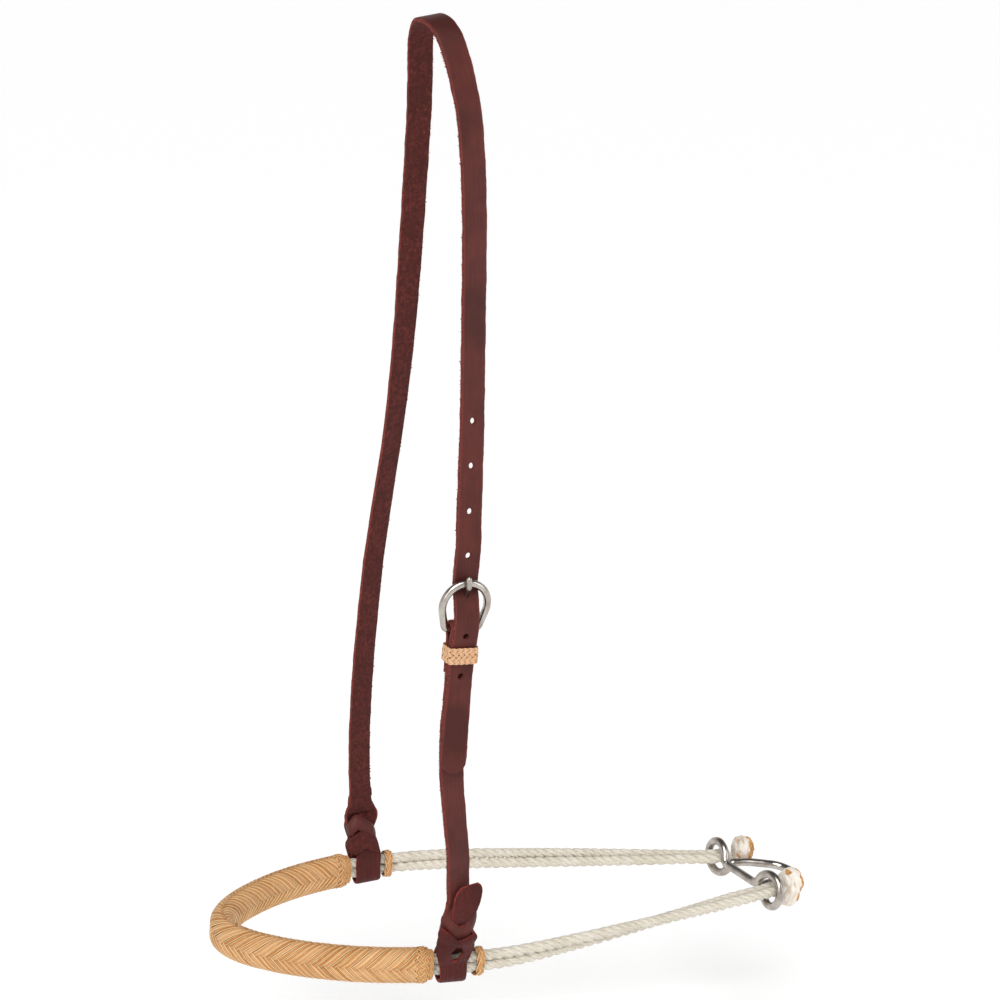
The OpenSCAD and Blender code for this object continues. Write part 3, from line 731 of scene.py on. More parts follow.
# ---------------------------------------------------------------- stitches under the bar
def stitches():
    """A sewn box on both faces of the fold."""
    b = Builder()
    x, low, high = 5.4, -25, -13
    face_y = 1.5 + HALF_T + 0.02
    u = np.linspace(0, 1, 7)
    taper = 0.12 + 0.26 * np.sin(math.pi * np.linspace(0.08, 0.92, 7))
    runs = [((side, low + 2.4 * k + 0.3), (side, low + 2.4 * k + 2.1))
            for side in (-x, x) for k in range(5)]
    runs += [((-x + 2.7 * k + 0.3, z), (-x + 2.7 * k + 2.4, z)) for z in (low, high) for k in range(4)]
    for face in (-1, 1):
        for (x0, z0), (x1, z1) in runs:
            y = face * (face_y + 0.22 * np.sin(math.pi * u))
            p = np.stack([x0 + (x1 - x0) * u, y, z0 + (z1 - z0) * u], 1)
            tube(b, at_bar(p), taper, 8)
    return b.make("fold_stitches", THREAD, 40)


attach(stitches(), "headstall", "fold_stitching")


# ---------------------------------------------------------------- buckle and tongue
def buckle():
    """A straight heel bar, round corners and straight sides up to the round top."""
    corner, bar, top_z = 3.0, 8.3, BUCKLE_H - BUCKLE_R
    turn = math.degrees(math.acos((BUCKLE_R - corner) / math.hypot(bar, corner - top_z))
                        - math.atan2(top_z - corner, bar))
    half = [(x, 0) for x in (0, 1.5, 3, 4.5, 6, 7.2)]
    half += [polar(corner, a, bar, corner) for a in np.linspace(-90, turn, 12)]
    half += [polar(BUCKLE_R, a, 0, top_z) for a in np.linspace(turn, 90, 26)][:-1]
    path = half + [(0, BUCKLE_H)] + [(-x, z) for x, z in half[:0:-1]]
    p = np.array([(x, 0, z) for x, z in path]) @ rot_x(BUCKLE_LEAN).T
    b = Builder()
    tube(b, at_bar(p), BUCKLE_WIRE / 2, 28, closed=True)
    return b.make("buckle_wire", STEEL)


def tongue():
    """A wire that leans a little to one side above the hole, with a blunt tip."""
    b = Builder()
    rows = smooth_curve([(-max(z - 18, 0) / 7, y, z) for y, z in TONGUE_RUN], 0.5)
    r = np.full(len(rows), 1.6)
    r[-4:] *= [0.97, 0.85, 0.62, 0.25]
    tube(b, at_bar(rows), r, 18)
    # eye rolled round the bar
    section = [(-1.7, 2.35), (-1.45, 3.9), (1.45, 3.9), (1.7, 2.35), (1.4, 2.28), (-1.4, 2.28)]
    eye = [(x, *polar(r, a)) for a in range(0, 360, 9) for x, r in section]
    b.add(at_bar(eye), ring_faces(40, 6, closed=True))
    return b.make("tongue_wire", STEEL, 35)


attach(buckle(), "buckle", "buckle_frame")
attach(tongue(), "tongue", "buckle_tongue")


# ---------------------------------------------------------------- rawhide strings
# section of a string, across and up, in shares of its half width and thickness
STRING = np.array([(-1.0, -0.4), (-0.97, 0.05), (-0.86, 0.36), (-0.7, 0.44), (-0.45, 0.36),
                   (0, 0.34), (0.45, 0.36), (0.7, 0.44), (0.86, 0.36), (0.97, 0.05), (1.0, -0.4),
                   (0, -0.5)])


def string(b, p, normal, half, thick, tone, deep, closed=False):
    """A flat rawhide string along points p, lying across the given normals."""
    t = tangents(p, closed)
    side = unit(np.cross(normal, t))
    up = np.cross(t, side)
    rows = p[:, None] + side[:, None] * STRING[:, :1] * half + up[:, None] * STRING[:, 1:] * thick
    m, n = len(p), len(STRING)
    b.add(rows, [f[::-1] for f in ring_faces(m, n, closed)], across=np.tile(STRING[:, 0], m),
          along=np.repeat(lengths(p), n), tone=tone, deep=np.repeat(deep, n))


def quarter_turn(q, quarter):
    """For shares q of the way round a shape with four like quarters: the length from the nearer
    outer or inner side, and the signs of x and z."""
    q = np.mod(q, 1) * 4
    k = np.floor(q).astype(int) % 4
    u = q - np.floor(q)
    s = np.where((k == 0) | (k == 2), u, 1 - u) * quarter
    return s, np.where((k == 0) | (k == 3), 1, -1), np.where(k < 2, 1, -1)


PILL_BEND = 7.0
PERIMETER = 2 * math.pi * PILL_BEND + 2 * ROPE_GAP


def pill(q, r):
    """Point and normal at share q of the way round an upright pill of radius r, from its outer
    side over its top. Shares are measured at a radius of PILL_BEND."""
    straight = ROPE_GAP / 2
    d, sx, sz = quarter_turn(q, PERIMETER / 4)
    a = np.clip((d - straight) / PILL_BEND, 0, None)
    x, z = np.cos(a), np.sin(a)
    return x * r * sx, np.where(d <= straight, d, straight + z * r) * sz, x * sx, z * sz


def nose_route(near, far):
    """From the near side round the nose to the far side."""
    return Route([(x, -y, 0) for x, y in reversed(near)] + [NOSE_TIP] + [(x, y, 0) for x, y in far])


cover_route = nose_route(NOSE_HALF[:8], NOSE_HALF[:8])
COVER_PITCH, COVER_SLOPE = 3.9, 1.04
# the strings stop this far from each end of the cover, under the end knots
BRAID_END = 3.6


def cover_bed(b):
    """A bed under the strings, darkened as the painted shade in their gaps."""
    rows = np.linspace(0.2, cover_route.length - 0.2, 150)
    p, _, side, out, _ = cover_route.at(rows)
    x, z, _, _ = pill(np.arange(28) / 28, 6.25)
    # side points to the inner side of the noseband here, so the outer side is against it
    rings = p[:, None] - side[:, None] * x[:, None] + out[:, None] * z[:, None]
    b.add(in_noseband(rings), ring_faces(len(rows), 28), deep=0.75, tone=0.3)


def cover_string(b, g, band, apex_s):
    """One slanting string of a band, a quarter of the way round, which dives at both ends."""
    start, rises = band / 4, band in (0, 2)
    over = 1.9 / PERIMETER
    q = np.linspace(start - over, start + 0.25 + over, 19)
    from_apex = q - start if rises else start + 0.25 - q
    s = apex_s - from_apex * PERIMETER * COVER_SLOPE + 0.22 * g.uniform(-1, 1)
    keep = (s > BRAID_END) & (s < cover_route.length - BRAID_END)
    if keep.sum() < 4:
        return
    edge = np.minimum(q - start, start + 0.25 - q) * 4
    r = 6.42 + 0.62 * np.clip((edge + 0.125) / 0.24, 0, 1) ** 0.8
    r = r - 0.45 * np.clip(-edge / 0.12, 0, 1) + g.uniform(-0.06, 0.06)
    # painted shade on the string where it dives under its neighbours
    dive = np.clip((0.05 - edge) / 0.12, 0, 1) * 0.8
    p, _, side, out, _ = cover_route.at(s[keep])
    x, z, nx, nz = pill(q[keep], r[keep])
    normal = -side * nx[:, None] + out * nz[:, None]
    string(b, in_noseband(p - side * x[:, None] + out * z[:, None]), normal @ rot_y(NOSE_TILT).T,
           1.35, 0.95, g.random(), dive[keep])


def nose_braid():
    """Herringbone: four bands of slanting strings, which meet in points along their edges."""
    b = Builder()
    g = np.random.default_rng(21)
    cover_bed(b)
    reach = COVER_SLOPE * PERIMETER / 4
    for band in range(4):
        phase = 0.0 if band in (0, 2) else 0.5
        for i in range(int((cover_route.length + reach) / COVER_PITCH) + 2):
            cover_string(b, g, band, (i + phase) * COVER_PITCH + 0.3)
    return b.make("nose_braid", RAWHIDE, 50)


attach(nose_braid(), "noseband", "nose_cover")


def woven_ring(b, place, leads, bights, reach, base, lift, half, thick, seed, shape=pill,
               tone=0.35):
    """A Turk's head: one string plaited round with the given leads and bights.

    place turns (along the ring's axis, outward x, z, normal x, normal z) into points."""
    u = np.arange(bights * 30) / (bights * 30)
    theta = 2 * math.pi * bights * u
    weave = np.sin((leads - 1) * theta)
    crown = 1 - 0.16 * np.cos(theta) ** 2
    px, pz, nx, nz = shape(leads * u, (base + lift * weave) * crown + base * (1 - crown) * 0.55)
    p, normal = place(reach * np.cos(theta), px, pz, nx, nz)
    tone = tone + 0.2 * np.random.default_rng(seed).random()
    # painted shade where the string passes under a crossing
    string(b, p, normal, half, thick, tone, np.clip(-weave, 0, 1) * 0.6, closed=True)


def woven_bed(b, place, shape, corners, deep, n):
    """Plain bed of n sides under a woven ring, so that nothing shows through its gaps. It is darkened
    as painted shade.

    Its section's corners are given as (along the ring's axis, radius)."""
    q = np.arange(n) / n
    rings = [place(np.full(n, x), *shape(q, np.full(n, r)))[0] for x, r in corners]
    b.add(np.vstack(rings), ring_faces(4, n, closed=True), deep=deep, tone=0.4)


def band_place(sign, x0, y0, yaw):
    """Places a ring round the ropes at x0, y0 of one side of the noseband."""
    turn = rot_z(yaw * -sign)

    def place(x, px, pz, nx, nz):
        p = np.stack([x, sign * px, pz], 1) @ turn.T + np.array([x0, sign * y0, 0])
        normal = np.stack([np.zeros_like(nx), sign * nx, nz], 1) @ turn.T
        return in_noseband(p), normal @ rot_y(NOSE_TILT).T
    return place


def band_bed(b, place, reach, r, deep):
    inner = ROPE_R + 0.05
    corners = [(-reach, inner), (-reach, r), (reach, r), (reach, inner)]
    woven_bed(b, place, pill, corners, deep, 28)


def cover_knot(name, sign):
    """The braid's raised end knot and the narrower finish beside the hanger."""
    b = Builder()
    wide = band_place(sign, -21.6, 71.3, -11)
    band_bed(b, wide, 3.6, 6.3, 0.6)
    woven_ring(b, wide, 5, 16, 3.1, 7.15, 0.42, 1.12, 1.0, 41 + sign)
    narrow = band_place(sign, -16.4, 72.3, -10)
    band_bed(b, narrow, 1.9, 4.8, 0.6)
    woven_ring(b, narrow, 3, 10, 1.05, 5.55, 0.4, 1.15, 0.9, 51 + sign)
    return b.make(name, RAWHIDE, 50)


def ring_knot(name, sign):
    b = Builder()
    place = band_place(sign, 14.5, 75.4, 1.5)
    band_bed(b, place, 2.0, 4.4, 1.0)
    woven_ring(b, place, 3, 8, 1.55, 5.05, 0.42, 1.35, 0.95, 61 + sign)
    return b.make(name, RAWHIDE, 50)


for side_name, sign in (("near", -1), ("far", 1)):
    attach(cover_knot(side_name + "_cover_knot_braid", sign), "noseband", side_name + "_cover_knot")
    attach(ring_knot(side_name + "_ring_knot_braid", sign), "noseband", side_name + "_rawhide_ring")


def keeper_shape(q, r):
    """A box with round corners: half sizes grow with r, and r = 0 is the middle of the wall."""
    c = 2.2
    a, d = 8.8 - c, 5.9 - c
    bend = math.pi * c / 2
    s, sx, sz = quarter_turn(q, a + d + bend)
    ang = np.clip((s - d) / c, 0, math.pi / 2)
    nx, nz = np.cos(ang), np.sin(ang)
    x = np.where(s > d + bend, a - (s - d - bend), a + nx * (c + r))
    z = np.where(s < d, s, d + nz * (c + r))
    return x * sx, z * sz, nx * sx, nz * sz


def keeper_place(x, px, pz, nx, nz):
    normal = np.stack([nx, nz, np.zeros_like(nx)], 1)
    return at_bar(np.stack([px, pz - 1.7, x + KEEPER_Z], 1)), normal @ rot_y(BAR_LEAN).T


def keeper():
    b = Builder()
    corners = [(-4.7, -0.5), (-4.7, 0.1), (4.7, 0.1), (4.7, -0.5)]
    woven_bed(b, keeper_place, keeper_shape, corners, 0.8, 48)
    woven_ring(b, keeper_place, 7, 16, 4.2, 0.45, 0.38, 0.88, 0.7, 77, keeper_shape, 0.1)
    return b.make("keeper_braid", FINE_RAWHIDE, 50)


attach(keeper(), "keeper", "keeper")


# ---------------------------------------------------------------- ropes
ROPE_LAY = 20.5
PAIR_OFFSET = 3.3
STRAND_OFFSET, STRAND_R = 1.62, 1.93
centre_route = nose_route(NOSE_HALF + NEAR_END, NOSE_HALF + FAR_END)


def rope(name, sign, seed):
    """Three strands twisted together. The pair lies upright at the nose and flat at the rear."""
    s = np.arange(0, centre_route.length, 1.0)
    p, _, side, out, _ = centre_route.at(s)
    a = np.radians(88 * np.clip((p[:, 0] - 20) / 200, 0, 1))[:, None]
    middle = p + sign * PAIR_OFFSET * (side * np.sin(a) + out * np.cos(a))
    t = tangents(middle, False)
    u = unit(np.cross(t, [0, 0, 1.0]))
    w = np.cross(u, t)
    around = np.arange(12) * 2 * math.pi / 12
    # the inner side of each strand, which the rope's material darkens as painted shade
    inside = np.clip((0.55 - np.cos(around)) / 1.2, 0, 1)
    lay = s / ROPE_LAY + 0.15 * wobble(s, seed, 3, 60, 200)
    b = Builder()
    for k in range(3):
        turn = -2 * math.pi * (lay + k / 3)[:, None]
        off = u * np.cos(turn) + w * np.sin(turn)
        strand = middle + off * STRAND_OFFSET
        st = tangents(strand, False)
        e = square(off, st)[:, None]
        f = np.cross(st, e[:, 0])[:, None]
        ring = e * np.cos(around)[:, None] + f * np.sin(around)[:, None]
        b.add(in_noseband(strand[:, None] + STRAND_R * ring), ring_faces(len(s), 12),
              along=np.repeat(lengths(strand), 12), around=np.tile(around, len(s)),
              inside=np.tile(inside, len(s)))
    return b.make(name, ROPE)


attach(rope("upper_twisted_rope", 1, 5), "noseband", "rope_upper")
attach(rope("lower_twisted_rope", -1, 9), "noseband", "rope_lower")


# ---------------------------------------------------------------- opened rope ends
def rope_knot(name, at, yaw, tall, seed):
    """Strands opened, folded back and fused into one lump, scorched along its free rim."""
    half = tall / 2
    # along the rope, half depth, half height
    profile = [(0.9, 2.6, 2.8), (1.0, 4.4, 5.4), (1.7, 6.2, half - 4.4), (3.6, 7.3, half - 1.8),
               (6.6, 7.8, half - 0.7), (9.8, 7.9, half - 0.6), (12.9, 7.1, half - 1.8),
               (15.0, 5.4, half - 4.6), (16.1, 3.2, half * 0.34), (16.4, 1.0, half * 0.1)]
    rows = eased([(x, y, 0.0, z) for x, y, z in profile], 64)
    n = 110
    around = np.tile(np.arange(n) * 2 * math.pi / n, len(rows))
    x, depth, _, height = np.repeat(rows, n, axis=0).T
    cy, cz = np.sin(around), np.cos(around)
    p = np.stack([x, depth * cy, height * cz], 1)
    away = unit(np.stack([(x - 7.5) * 0.12, cy, cz], 1))
    # the folds run round the rope, and each is wavy
    bend = 0.9 * np.sin(around + seed) + 0.9 * lumps(p, seed, 18)
    fold = 1 - 2 * np.sin(2 * math.pi * (x + bend) / 7.6) ** 4
    fade = np.clip((x - 1.0) / 1.5, 0, 1) * np.clip((13.2 - x) / 5, 0.25, 1)
    push = 0.7 * fold * fade + 0.9 * lumps(p, seed + 1, 11)
    push = push + 0.2 * lumps(p, seed + 2, 2.6) + 0.08 * lumps(p, seed + 3, 1.2)
    burnt = 0.9 * np.clip((x - 9.0) / 3.0, 0, 1) + 0.55 * lumps(p, seed + 4, 8)
    burnt = burnt + 2.4 * np.clip(abs(p[:, 2]) / half - 0.74, 0, 0.3) * np.clip(x / 6, 0, 1)
    p = p + away * (push - 0.5)[:, None]
    b = Builder()
    # the hollows between the folds carry painted shade
    b.add(in_noseband(p @ rot_z(yaw).T + np.array(at)), ring_faces(len(rows), n),
          burnt=np.clip(burnt, 0, 1), deep=np.clip(-push * 0.5, 0, 0.6), along=x, around=around)
    return b.make(name, ROPE_END)


attach(rope_knot("near_opened_rope_end", (259.6, -26.5, -0.7), 12, 28.4, 7), "noseband",
       "near_rope_knot")
attach(rope_knot("far_opened_rope_end", (254.0, 31.2, 3), -5, 22, 12), "noseband",
       "far_rope_knot")


# ---------------------------------------------------------------- tie-down ring
def tie_down():
    """One wire: a loop between two eyes, and a bar welded across to them."""
    c, w = EYE_GAP / 2, RING_WIRE / 2 + 0.05
    # the eye's inner side, where the bar and the wire's ends meet it
    y = c - EYE_R
    half = [(-w, y - 4.4, 0), (-w, y - 2, 0.4), (-w, y - 0.5, 1.7)]
    half += [(w * (a - 180) / 180, c - EYE_R * math.cos(rad(a)), EYE_R * math.sin(rad(a)))
             for a in range(22, 343, 10)]
    half += [(w + 0.6, y + 0.1, -1.5), (w + 2, y - 0.2, -0.4), (w + 4.4, y - 0.7, 0)]
    bow_r = 13.5
    bow = [(*polar(bow_r, a, LOOP_LEN - bow_r), 0) for a in range(72, -73, -9)]
    b = Builder()
    path = half + bow + [(x, -y, z) for x, y, z in reversed(half)]
    tube(b, in_ring(smooth_curve(path, 0.9)), RING_WIRE / 2, 24)
    bar = np.stack([np.full(24, -w), np.linspace(3.0 - y, y - 3.0, 24), np.zeros(24)], 1)
    tube(b, in_ring(bar), RING_WIRE / 2, 24)
    # weld beads where the bar meets each eye
    for s in (-1, 1):
        bead = [(-w + 0.2, s * (y - 3.4), -0.2), (-w + 1.6, s * (y - 1.6), -0.9),
                (0.0, s * (y - 0.6), -1.0), (w - 0.4, s * (y - 0.8), -0.8)]
        tube(b, in_ring(smooth_curve(bead, 0.8)), 2.2, 14)
    return b.make("tie_down_wire", STEEL)


attach(tie_down(), "tie_down", "tie_down_ring")


# ---------------------------------------------------------------- plaited hangers
def outward_normal(p, sign):
    """Normals of a grid of points, on its outer side, and 1 or -1 for the way its quads go."""
    normal = unit(np.cross(np.gradient(p, axis=1), np.gradient(p, axis=0)))
    facing = 1 if normal[0, p.shape[1] // 2].dot([0, sign, 0]) > 0 else -1
    return normal * facing, facing


def away_from_leather(flat, quads, rim, normal):
    """Directions in which the rim points of a sheet face, away from the quads they belong to."""
    centre, count = np.zeros(flat.shape), np.zeros(len(flat))
    for q in quads:
        centre[list(q)] += flat[list(q)].mean(0)
        count[list(q)] += 1
    away = np.zeros(flat.shape)
    away[rim] = flat[rim] - centre[rim] / count[rim][:, None]
    return square(away, normal)


def slab(b, sign, grid, kept=None, thick=2.6, grain=1, seed=1):
    """A sheet of leather over a grid of (u, w, height) points, closed by rounded raw edges.

    u runs along the ropes, w outwards from them, and the height is above the ropes' middle. kept
    tells which cells of the grid are leather, and grain is the skin of the side that faces out."""
    grid = np.asarray(grid, float)
    m, n = grid.shape[:2]
    total = m * n
    kept = np.ones((m - 1, n - 1), bool) if kept is None else kept
    p = np.stack([grid[..., 0] - 20, sign * (HANGER_Y + grid[..., 1]), grid[..., 2] - 555], -1)
    normal, facing = outward_normal(p, sign)
    flat, normal = p.reshape(-1, 3), normal.reshape(-1, 3)
    quads = [(i * n + j, i * n + j + 1, (i + 1) * n + j + 1, (i + 1) * n + j)[::facing]
             for i in range(m - 1) for j in range(n - 1) if kept[i, j]]
    edges = {(q[k], q[(k + 1) % 4]) for q in quads for k in range(4)}
    border = sorted(e for e in edges if e[::-1] not in edges)
    rim = sorted({k for e in border for k in e})
    away = away_from_leather(flat, quads, rim, normal)
    lift = np.full((total, 1), thick / 2)
    lift[rim] *= 0.7
    ragged = 0.12 * wobble(np.arange(total) * 1.7, seed, 4, 2, 9)[:, None]
    sheets = [flat + normal * lift + away * 0.25, flat - normal * lift + away * 0.25,
              flat + away * (0.6 + ragged)]
    faces = quads + [tuple(k + total for k in q[::-1]) for q in quads]
    for x, y in border:
        faces.append((y, x, x + 2 * total, y + 2 * total))
        faces.append((y + 2 * total, x + 2 * total, x + total, y + total))
    skin = np.full(total, 1.0)
    skin[rim] = 0.7
    used = sorted({k for f in faces for k in f})
    number = {k: i for i, k in enumerate(used)}
    b.add(np.vstack(sheets)[used], [tuple(number[k] for k in f) for f in faces],
          skin=np.concatenate([skin * grain, -skin * grain, np.zeros(total)])[used],
          along=np.tile(grid[..., 2].reshape(-1) + 40 * seed, 3)[used],
          across=np.tile(np.clip(grid[..., 0].reshape(-1) * 0.6, -6, 6), 3)[used])


COLUMNS = np.linspace(-1, 1, 21)
MID_COL = len(COLUMNS) // 2


def parted(left, right, opening):
    """Offsets of a row's columns out to left and right, crowded beside an opening in the middle."""
    half = np.where(COLUMNS < 0, left, right)
    return np.sign(COLUMNS) * (opening + (half - opening) * abs(COLUMNS))


def lips(off, opening, height):
    """Leather swells outwards along the sides of a slit."""
    return height * np.exp(-((abs(off) - opening) / 1.8) ** 2) if opening > 0 else 0


def slit_strap(b, sign):
    """The strap's own end: it widens round the slit that lets the flap out, then goes inside."""
    slit_top = 45 if sign < 0 else 36
    # middle u, middle w, height, half width, share of the strap's turn, opening, curl at the sides
    rows = [(-1, 7.2, 46, 7.78, 1, 0, 0), (-1, 7.4, 42.6, 8.3, 0.9, 1.6, 0.1),
            (-0.9, 8.2, 39, 9.7, 0.6, 4.4, 0.8), (-0.6, 8.9, 35.5, 10.9, 0.3, 5.6, 2.2),
            (-0.5, 9.6, 32, 10.9, 0.1, 3.1, 3.2), (-0.6, 9.9, 29.2, 10.4, 0, 0.35, 3.4),
            (-0.5, 9.9, 28.6, 10.1, 0, 0, 3.4), (-0.8, 9.6, 25, 8.9, 0, 0, 3.0),
            (-1.4, 8.6, 21, 7.8, 0, 0, 2.2), (-2.0, 6.4, 17, 7.2, 0, 0, 1.2)]
    fine = eased(rows, 34)
    side = np.clip((abs(COLUMNS) - 0.45) / 0.55, 0, 1)
    mask = np.ones((len(fine) - 1, len(COLUMNS) - 1), bool)
    grid, opened = [], []
    for cu, cw, h, half, turned, opening, curl in fine:
        opening = opening if opening > 0.2 and 28.7 < h < slit_top else 0.0
        off = parted(half, half, opening)
        w = cw + 0.2126 * sign * turned * off - curl * side ** 2
        w = w + lips(off, opening, 1.2 if opening > 0.4 else 0)
        grid.append(np.stack([cu + off, w, np.full(len(off), h)], 1))
        opened.append(opening > 0)
    for i in range(len(fine) - 1):
        if opened[i] and (opened[i + 1] or fine[i][2] < 33):
            mask[i, MID_COL - 1:MID_COL + 1] = False
    slab(b, sign, grid, mask, 2.7, 1, 3)


def second_slit(h):
    """Half opening of the slit under the V: a narrow top, wide shoulders and a pointed foot."""
    if h > 12:
        return 4.4 * max(0.0, (17.0 - h) / 5.0) ** 0.7
    return 4.4 * max(0.0, (h - 5.6) / 6.4)


def loop_rows(c, in_by):
    """Middle u, w, height, left and right u, curl left and right, rise left and right.

    The V comes first, then the front of the ropes, the bend under them, and the way up inside."""
    r, mid = ROPE_R + 1.7, ROPE_GAP / 2
    rows = [(-3.2, 12.0, 20.4, -13.4 + in_by, 9.0, 2.2, 3.0, 10.4, 1.6),
            (-3.1, 12.3, 18.9, -14.3 + in_by, 9.7, 3.0, 3.0, 8.6, 1.5),
            (-3.0, 11.6, 17.3, -13.8 + in_by, 9.4, 3.8, 2.8, 6.0, 1.2),
            (-3.0, 10.6, 15.6, -12.8 + in_by, 8.4, 4.4, 2.4, 3.4, 0.8),
            (-3.1, 9.6, 13.6, -14.3 + in_by, 8.6, 2.8, 2.0, 1.8, 0.3),
            (-3.3, 8.7, 11.4, -14.3 + in_by, 7.9, 2.2, 1.6, 0.8, 0),
            (-3.4, 8.0, 9, -13.7 + in_by, 6.9, 1.6, 1, 0, 0),
            (-3.6, 7.3, 6, -13.1 + in_by, 5.8, 0.9, 0.6, 0, 0),
            (c, r + 0.3, 3.8, c - 8.5, c + 8.7, 0.3, 0.2, 0, 0)]
    plain = [(0, r, 0, 8.2, 8.5), (0, r, -mid, 7.9, 8.4)]
    plain += [(0, r * math.cos(rad(t)), -mid - (r + 1.2) * math.sin(rad(t)), 7.8, 8.3)
              for t in (30, 60, 90, 120, 150)]
    plain += [(0, -r, -mid, 7.9, 7.9), (0, -r, 0, 8, 8), (0.3, -r, 5, 8, 8.3),
              (0.6, 0.4 - r, 8.5, 7.4, 8.6), (1, 1.6 - r, 12.5, 6, 8.4), (1, 3.0 - r, 16.5, 4.4, 7),
              (1, 3.8 - r, 18.5, 2.6, 5)]
    return rows + [(c + u, w, h, c - left, c + right, 0, 0, 0, 0) for u, w, h, left, right in plain]


def outer_loop(b, sign):
    """From the V that takes the strap, past a second slit, down round the ropes and up inside."""
    near = sign < 0
    fine = eased(loop_rows(-3.7, 0.0) if near else loop_rows(-0.6, 3.4), 104)
    roll = 0.13 if near else 0.0
    side = np.clip((abs(COLUMNS) - 0.35) / 0.65, 0, 1)
    left = COLUMNS < 0
    grid, opened = [], []
    for cu, cw, h, left_u, right_u, curl_left, curl_right, rise_left, rise_right in fine:
        opening = second_slit(h) if cw > 6 and h > 4 else 0.0
        off = parted(cu - left_u, right_u - cu, opening)
        w = cw - np.where(left, curl_left, curl_right) * side ** 1.5 + lips(off, opening, 0.8)
        up = np.where(left, rise_left, rise_right) * abs(COLUMNS) ** 0.95
        up = up - roll * off * np.clip((6 - h) / 6, 0, 1)
        grid.append(np.stack([cu + off, w, h + up], 1))
        opened.append(opening > 0)
    mask = np.ones((len(fine) - 1, len(COLUMNS) - 1), bool)
    for i in range(len(fine) - 1):
        if opened[i] and opened[i + 1]:
            mask[i, MID_COL - 1:MID_COL + 1] = False
    slab(b, sign, grid, mask, 2.6, 1, 7)


def lining(b, sign):
    """The ply drawn between the outer and the inner one, which closes the slits from behind."""
    # left u, w, height, right u
    rows = [(-9.5, 1.6, 7.9, 8.4), (-9.3, 1.8, 13, 8.0), (-8.6, 2.4, 19, 6.8), (-7.6, 4.0, 26, 6.0)]
    grid = [np.stack([np.linspace(left, right, 11), np.full(11, w), np.full(11, h)], 1)
            for left, w, h, right in eased(rows, 12)]
    slab(b, sign, grid, None, 2.2, 1, 29)


def inner_arch(b, sign, apex, legs, high, w_low, w_high, grain, seed):
    """A ply over the inner face: its lower edge is an arch, and its ends turn outwards.

    The apex and the feet of the legs are (u, height)."""
    left, right = legs
    a = np.linspace(-1, 1, 25)
    u = np.where(a < 0, apex[0] + a * (apex[0] - left[0]), apex[0] + a * (right[0] - apex[0]))
    drop = np.where(a < 0, -a * (apex[1] - left[1]), a * (apex[1] - right[1]))
    soft = np.sqrt(a ** 2 + 0.004) - math.sqrt(0.004)
    drop = drop * soft / np.maximum(abs(a), 1e-3)
    ends = np.clip((abs(a) - 0.72) / 0.28, 0, 1) ** 1.5
    grid = []
    for t in np.linspace(0, 1, 9):
        h = apex[1] + high * (1 - t) * (1 - 0.45 * ends) - drop
        w = w_high + (w_low - w_high) * t ** 0.8 - 0.7 * math.sin(math.pi * t) + ends * 5.5
        grid.append(np.stack([u, w, h], 1))
    slab(b, sign, grid, None, 2.3, -grain, seed)


def plait(name, sign):
    foot = 11 if sign < 0 else 16
    b = Builder()
    slit_strap(b, sign)
    lining(b, sign)
    inner_arch(b, sign, (-5.2, 27.2), ((-10.8, 22), (8.6, 17.3)), 8, 0.4, 4.6, 1, 21)
    inner_arch(b, sign, (-2.5, foot), ((-11.2, foot - 4.5), (8.4, foot - 5.8)), 25 - foot, -6.2, 0.4,
               -1, 33)
    return b.make(name, LEATHER, 50)


def loop(name, sign):
    b = Builder()
    outer_loop(b, sign)
    return b.make(name, PLAIT_LEATHER, 50)


def tail(name, sign):
    """The free end comes out through the slit and stands up, with a round tip."""
    lean, low = (1, 0) if sign < 0 else (0.45, -5)
    # middle u, middle w, height, half width
    rows = [(-0.6, 5.0, 28.6, 1.8), (-0.5, 8.2, 30.6, 3.0), (-0.2, 10.4, 33.4, 4.9),
            (0.5, 12.0, 37.4, 6.9), (1.4, 12.7, 42, 7.9), (2.3, 12.9, 47 + low, 8.2),
            (3.1, 12.7, 51 + low, 8.1), (3.6, 12.5, 53.4 + low, 7.4),
            (4.0, 12.4, 55 + low, 6.3), (4.2, 12.3, 56 + low, 5.0)]
    a = np.linspace(-1, 1, 13)
    slope = 0.23 * lean
    grid = []
    for cu, cw, h, half in eased(rows, 26):
        rise = half * a * math.sin(slope) * np.clip((h - 30) / 10, 0, 1)
        w = cw + 0.16 * half * a + 0.9 * a ** 2
        grid.append(np.stack([cu * lean + half * a * math.cos(slope), w, h + rise], 1))
    b = Builder()
    slab(b, sign, grid, None, 2.8, 1, 11)
    return b.make(name, PLAIT_LEATHER, 50)


for side_name, sign in (("near", -1), ("far", 1)):
    for part, make in (("plait", plait), ("loop", loop), ("tail", tail)):
        attach(make(f"{side_name}_{part}_leather", sign), "noseband", f"{side_name}_hanger_{part}")

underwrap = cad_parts["nose_underwrap"].data.materials
underwrap.clear()
underwrap.append(RAWHIDE)


# ---------------------------------------------------------------- floor, light and camera
def stage():
    half, z = 30, CAD_BOX[0][2] - 0.09
    corners = [(x * half, y * half, z) for x, y in ((-1, -1), (1, -1), (1, 1), (-1, 1))]
    mesh = bpy.data.meshes.new("floor")
    mesh.from_pydata(corners, [], [(0, 1, 2, 3)])
    floor = bpy.data.objects.new("floor", mesh)
    bpy.context.scene.collection.objects.link(floor)
    m, n = new_material("pale_floor")
    inputs = m.node_tree.nodes["Principled BSDF"].inputs
    for k, value in (("Base Color", (0.93, 0.93, 0.93, 1)), ("Roughness", 1.0),
                     ("Specular IOR Level", 0.0), ("Emission Color", (1, 1, 1, 1)),
                     ("Emission Strength", 0.2)):
        n.put(inputs[k], value)
    mesh.materials.append(m)


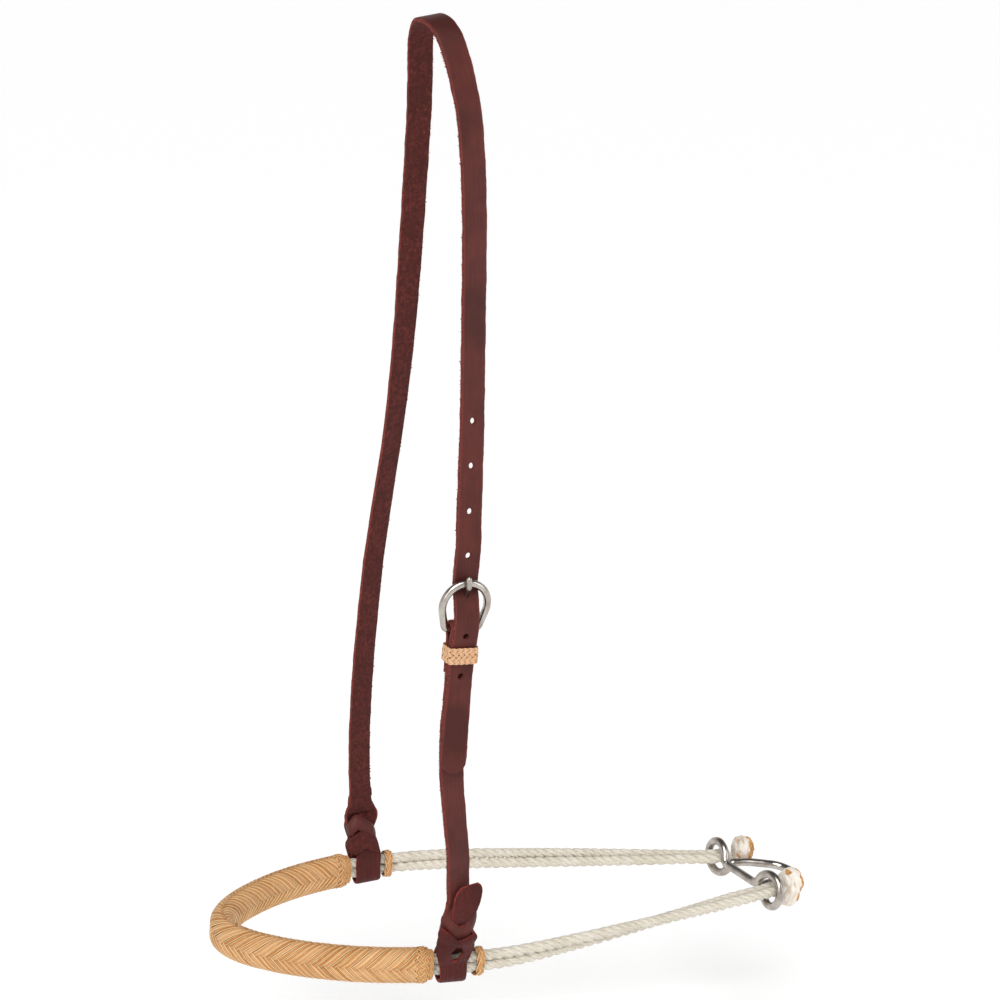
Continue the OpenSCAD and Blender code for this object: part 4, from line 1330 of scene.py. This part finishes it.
def light(name, lamp, place, power):
    """A lamp that shines from its place at the middle of the object."""
    lamp.energy = power
    obj = bpy.data.objects.new(name, lamp)
    obj.location = place
    obj.rotation_mode = "QUATERNION"
    obj.rotation_quaternion = (Vector((0.04, 0, -0.3)) - Vector(place)).to_track_quat("-Z", "Y")
    bpy.context.scene.collection.objects.link(obj)


def sun(name, place, power, angle):
    lamp = bpy.data.lights.new(name, "SUN")
    lamp.angle = rad(angle)
    light(name, lamp, place, power)


def panel(name, place, power, size):
    lamp = bpy.data.lights.new(name, "AREA")
    lamp.shape = "RECTANGLE"
    lamp.size, lamp.size_y = size
    light(name, lamp, place, power)


def sky():
    """Bright walls and a dark ceiling, as in a tent of white cloth that is open above."""
    world = bpy.data.worlds.new("studio")
    bpy.context.scene.world = world
    world.use_nodes = True
    n = Nodes(world.node_tree)
    split = n.add("ShaderNodeSeparateXYZ")
    n.put(split.inputs[0], n.place("Generated"))
    wall = n.span(split.outputs[2], 0.25, 0.75, 0.78, 0.12)
    background = world.node_tree.nodes["Background"].inputs
    n.put(background["Color"], n.mix(wall, "000000", "FFFFFF"))
    n.put(background["Strength"], 1.0)


stage()
sun("sun_soft", (-1.2, -2.0, 3.2), 2.1, 50)
panel("left_panel", (-1.7, -1.5, 0.5), 9, (0.7, 1.5))
panel("right_panel", (1.5, -1.2, 0.3), 5, (0.5, 1.4))
sky()

camera = bpy.data.cameras.new("camera")
camera.lens = 82.2
camera.sensor_width = 36
camera.clip_start, camera.clip_end = 0.05, 30
TARGET, DISTANCE = Vector((0.0435, 0, -0.2902)), 1.4
AZIMUTH, ELEVATION = rad(-24.285), rad(16.206)
back = Vector((math.sin(AZIMUTH) * math.cos(ELEVATION), -math.cos(AZIMUTH) * math.cos(ELEVATION),
               math.sin(ELEVATION)))
view = bpy.data.objects.new("camera", camera)
view.location = TARGET + back * DISTANCE
view.rotation_mode = "QUATERNION"
view.rotation_quaternion = (-back).to_track_quat("-Z", "Y")
bpy.context.scene.collection.objects.link(view)
bpy.context.scene.camera = view
bpy.context.scene.view_settings.view_transform = "Standard"
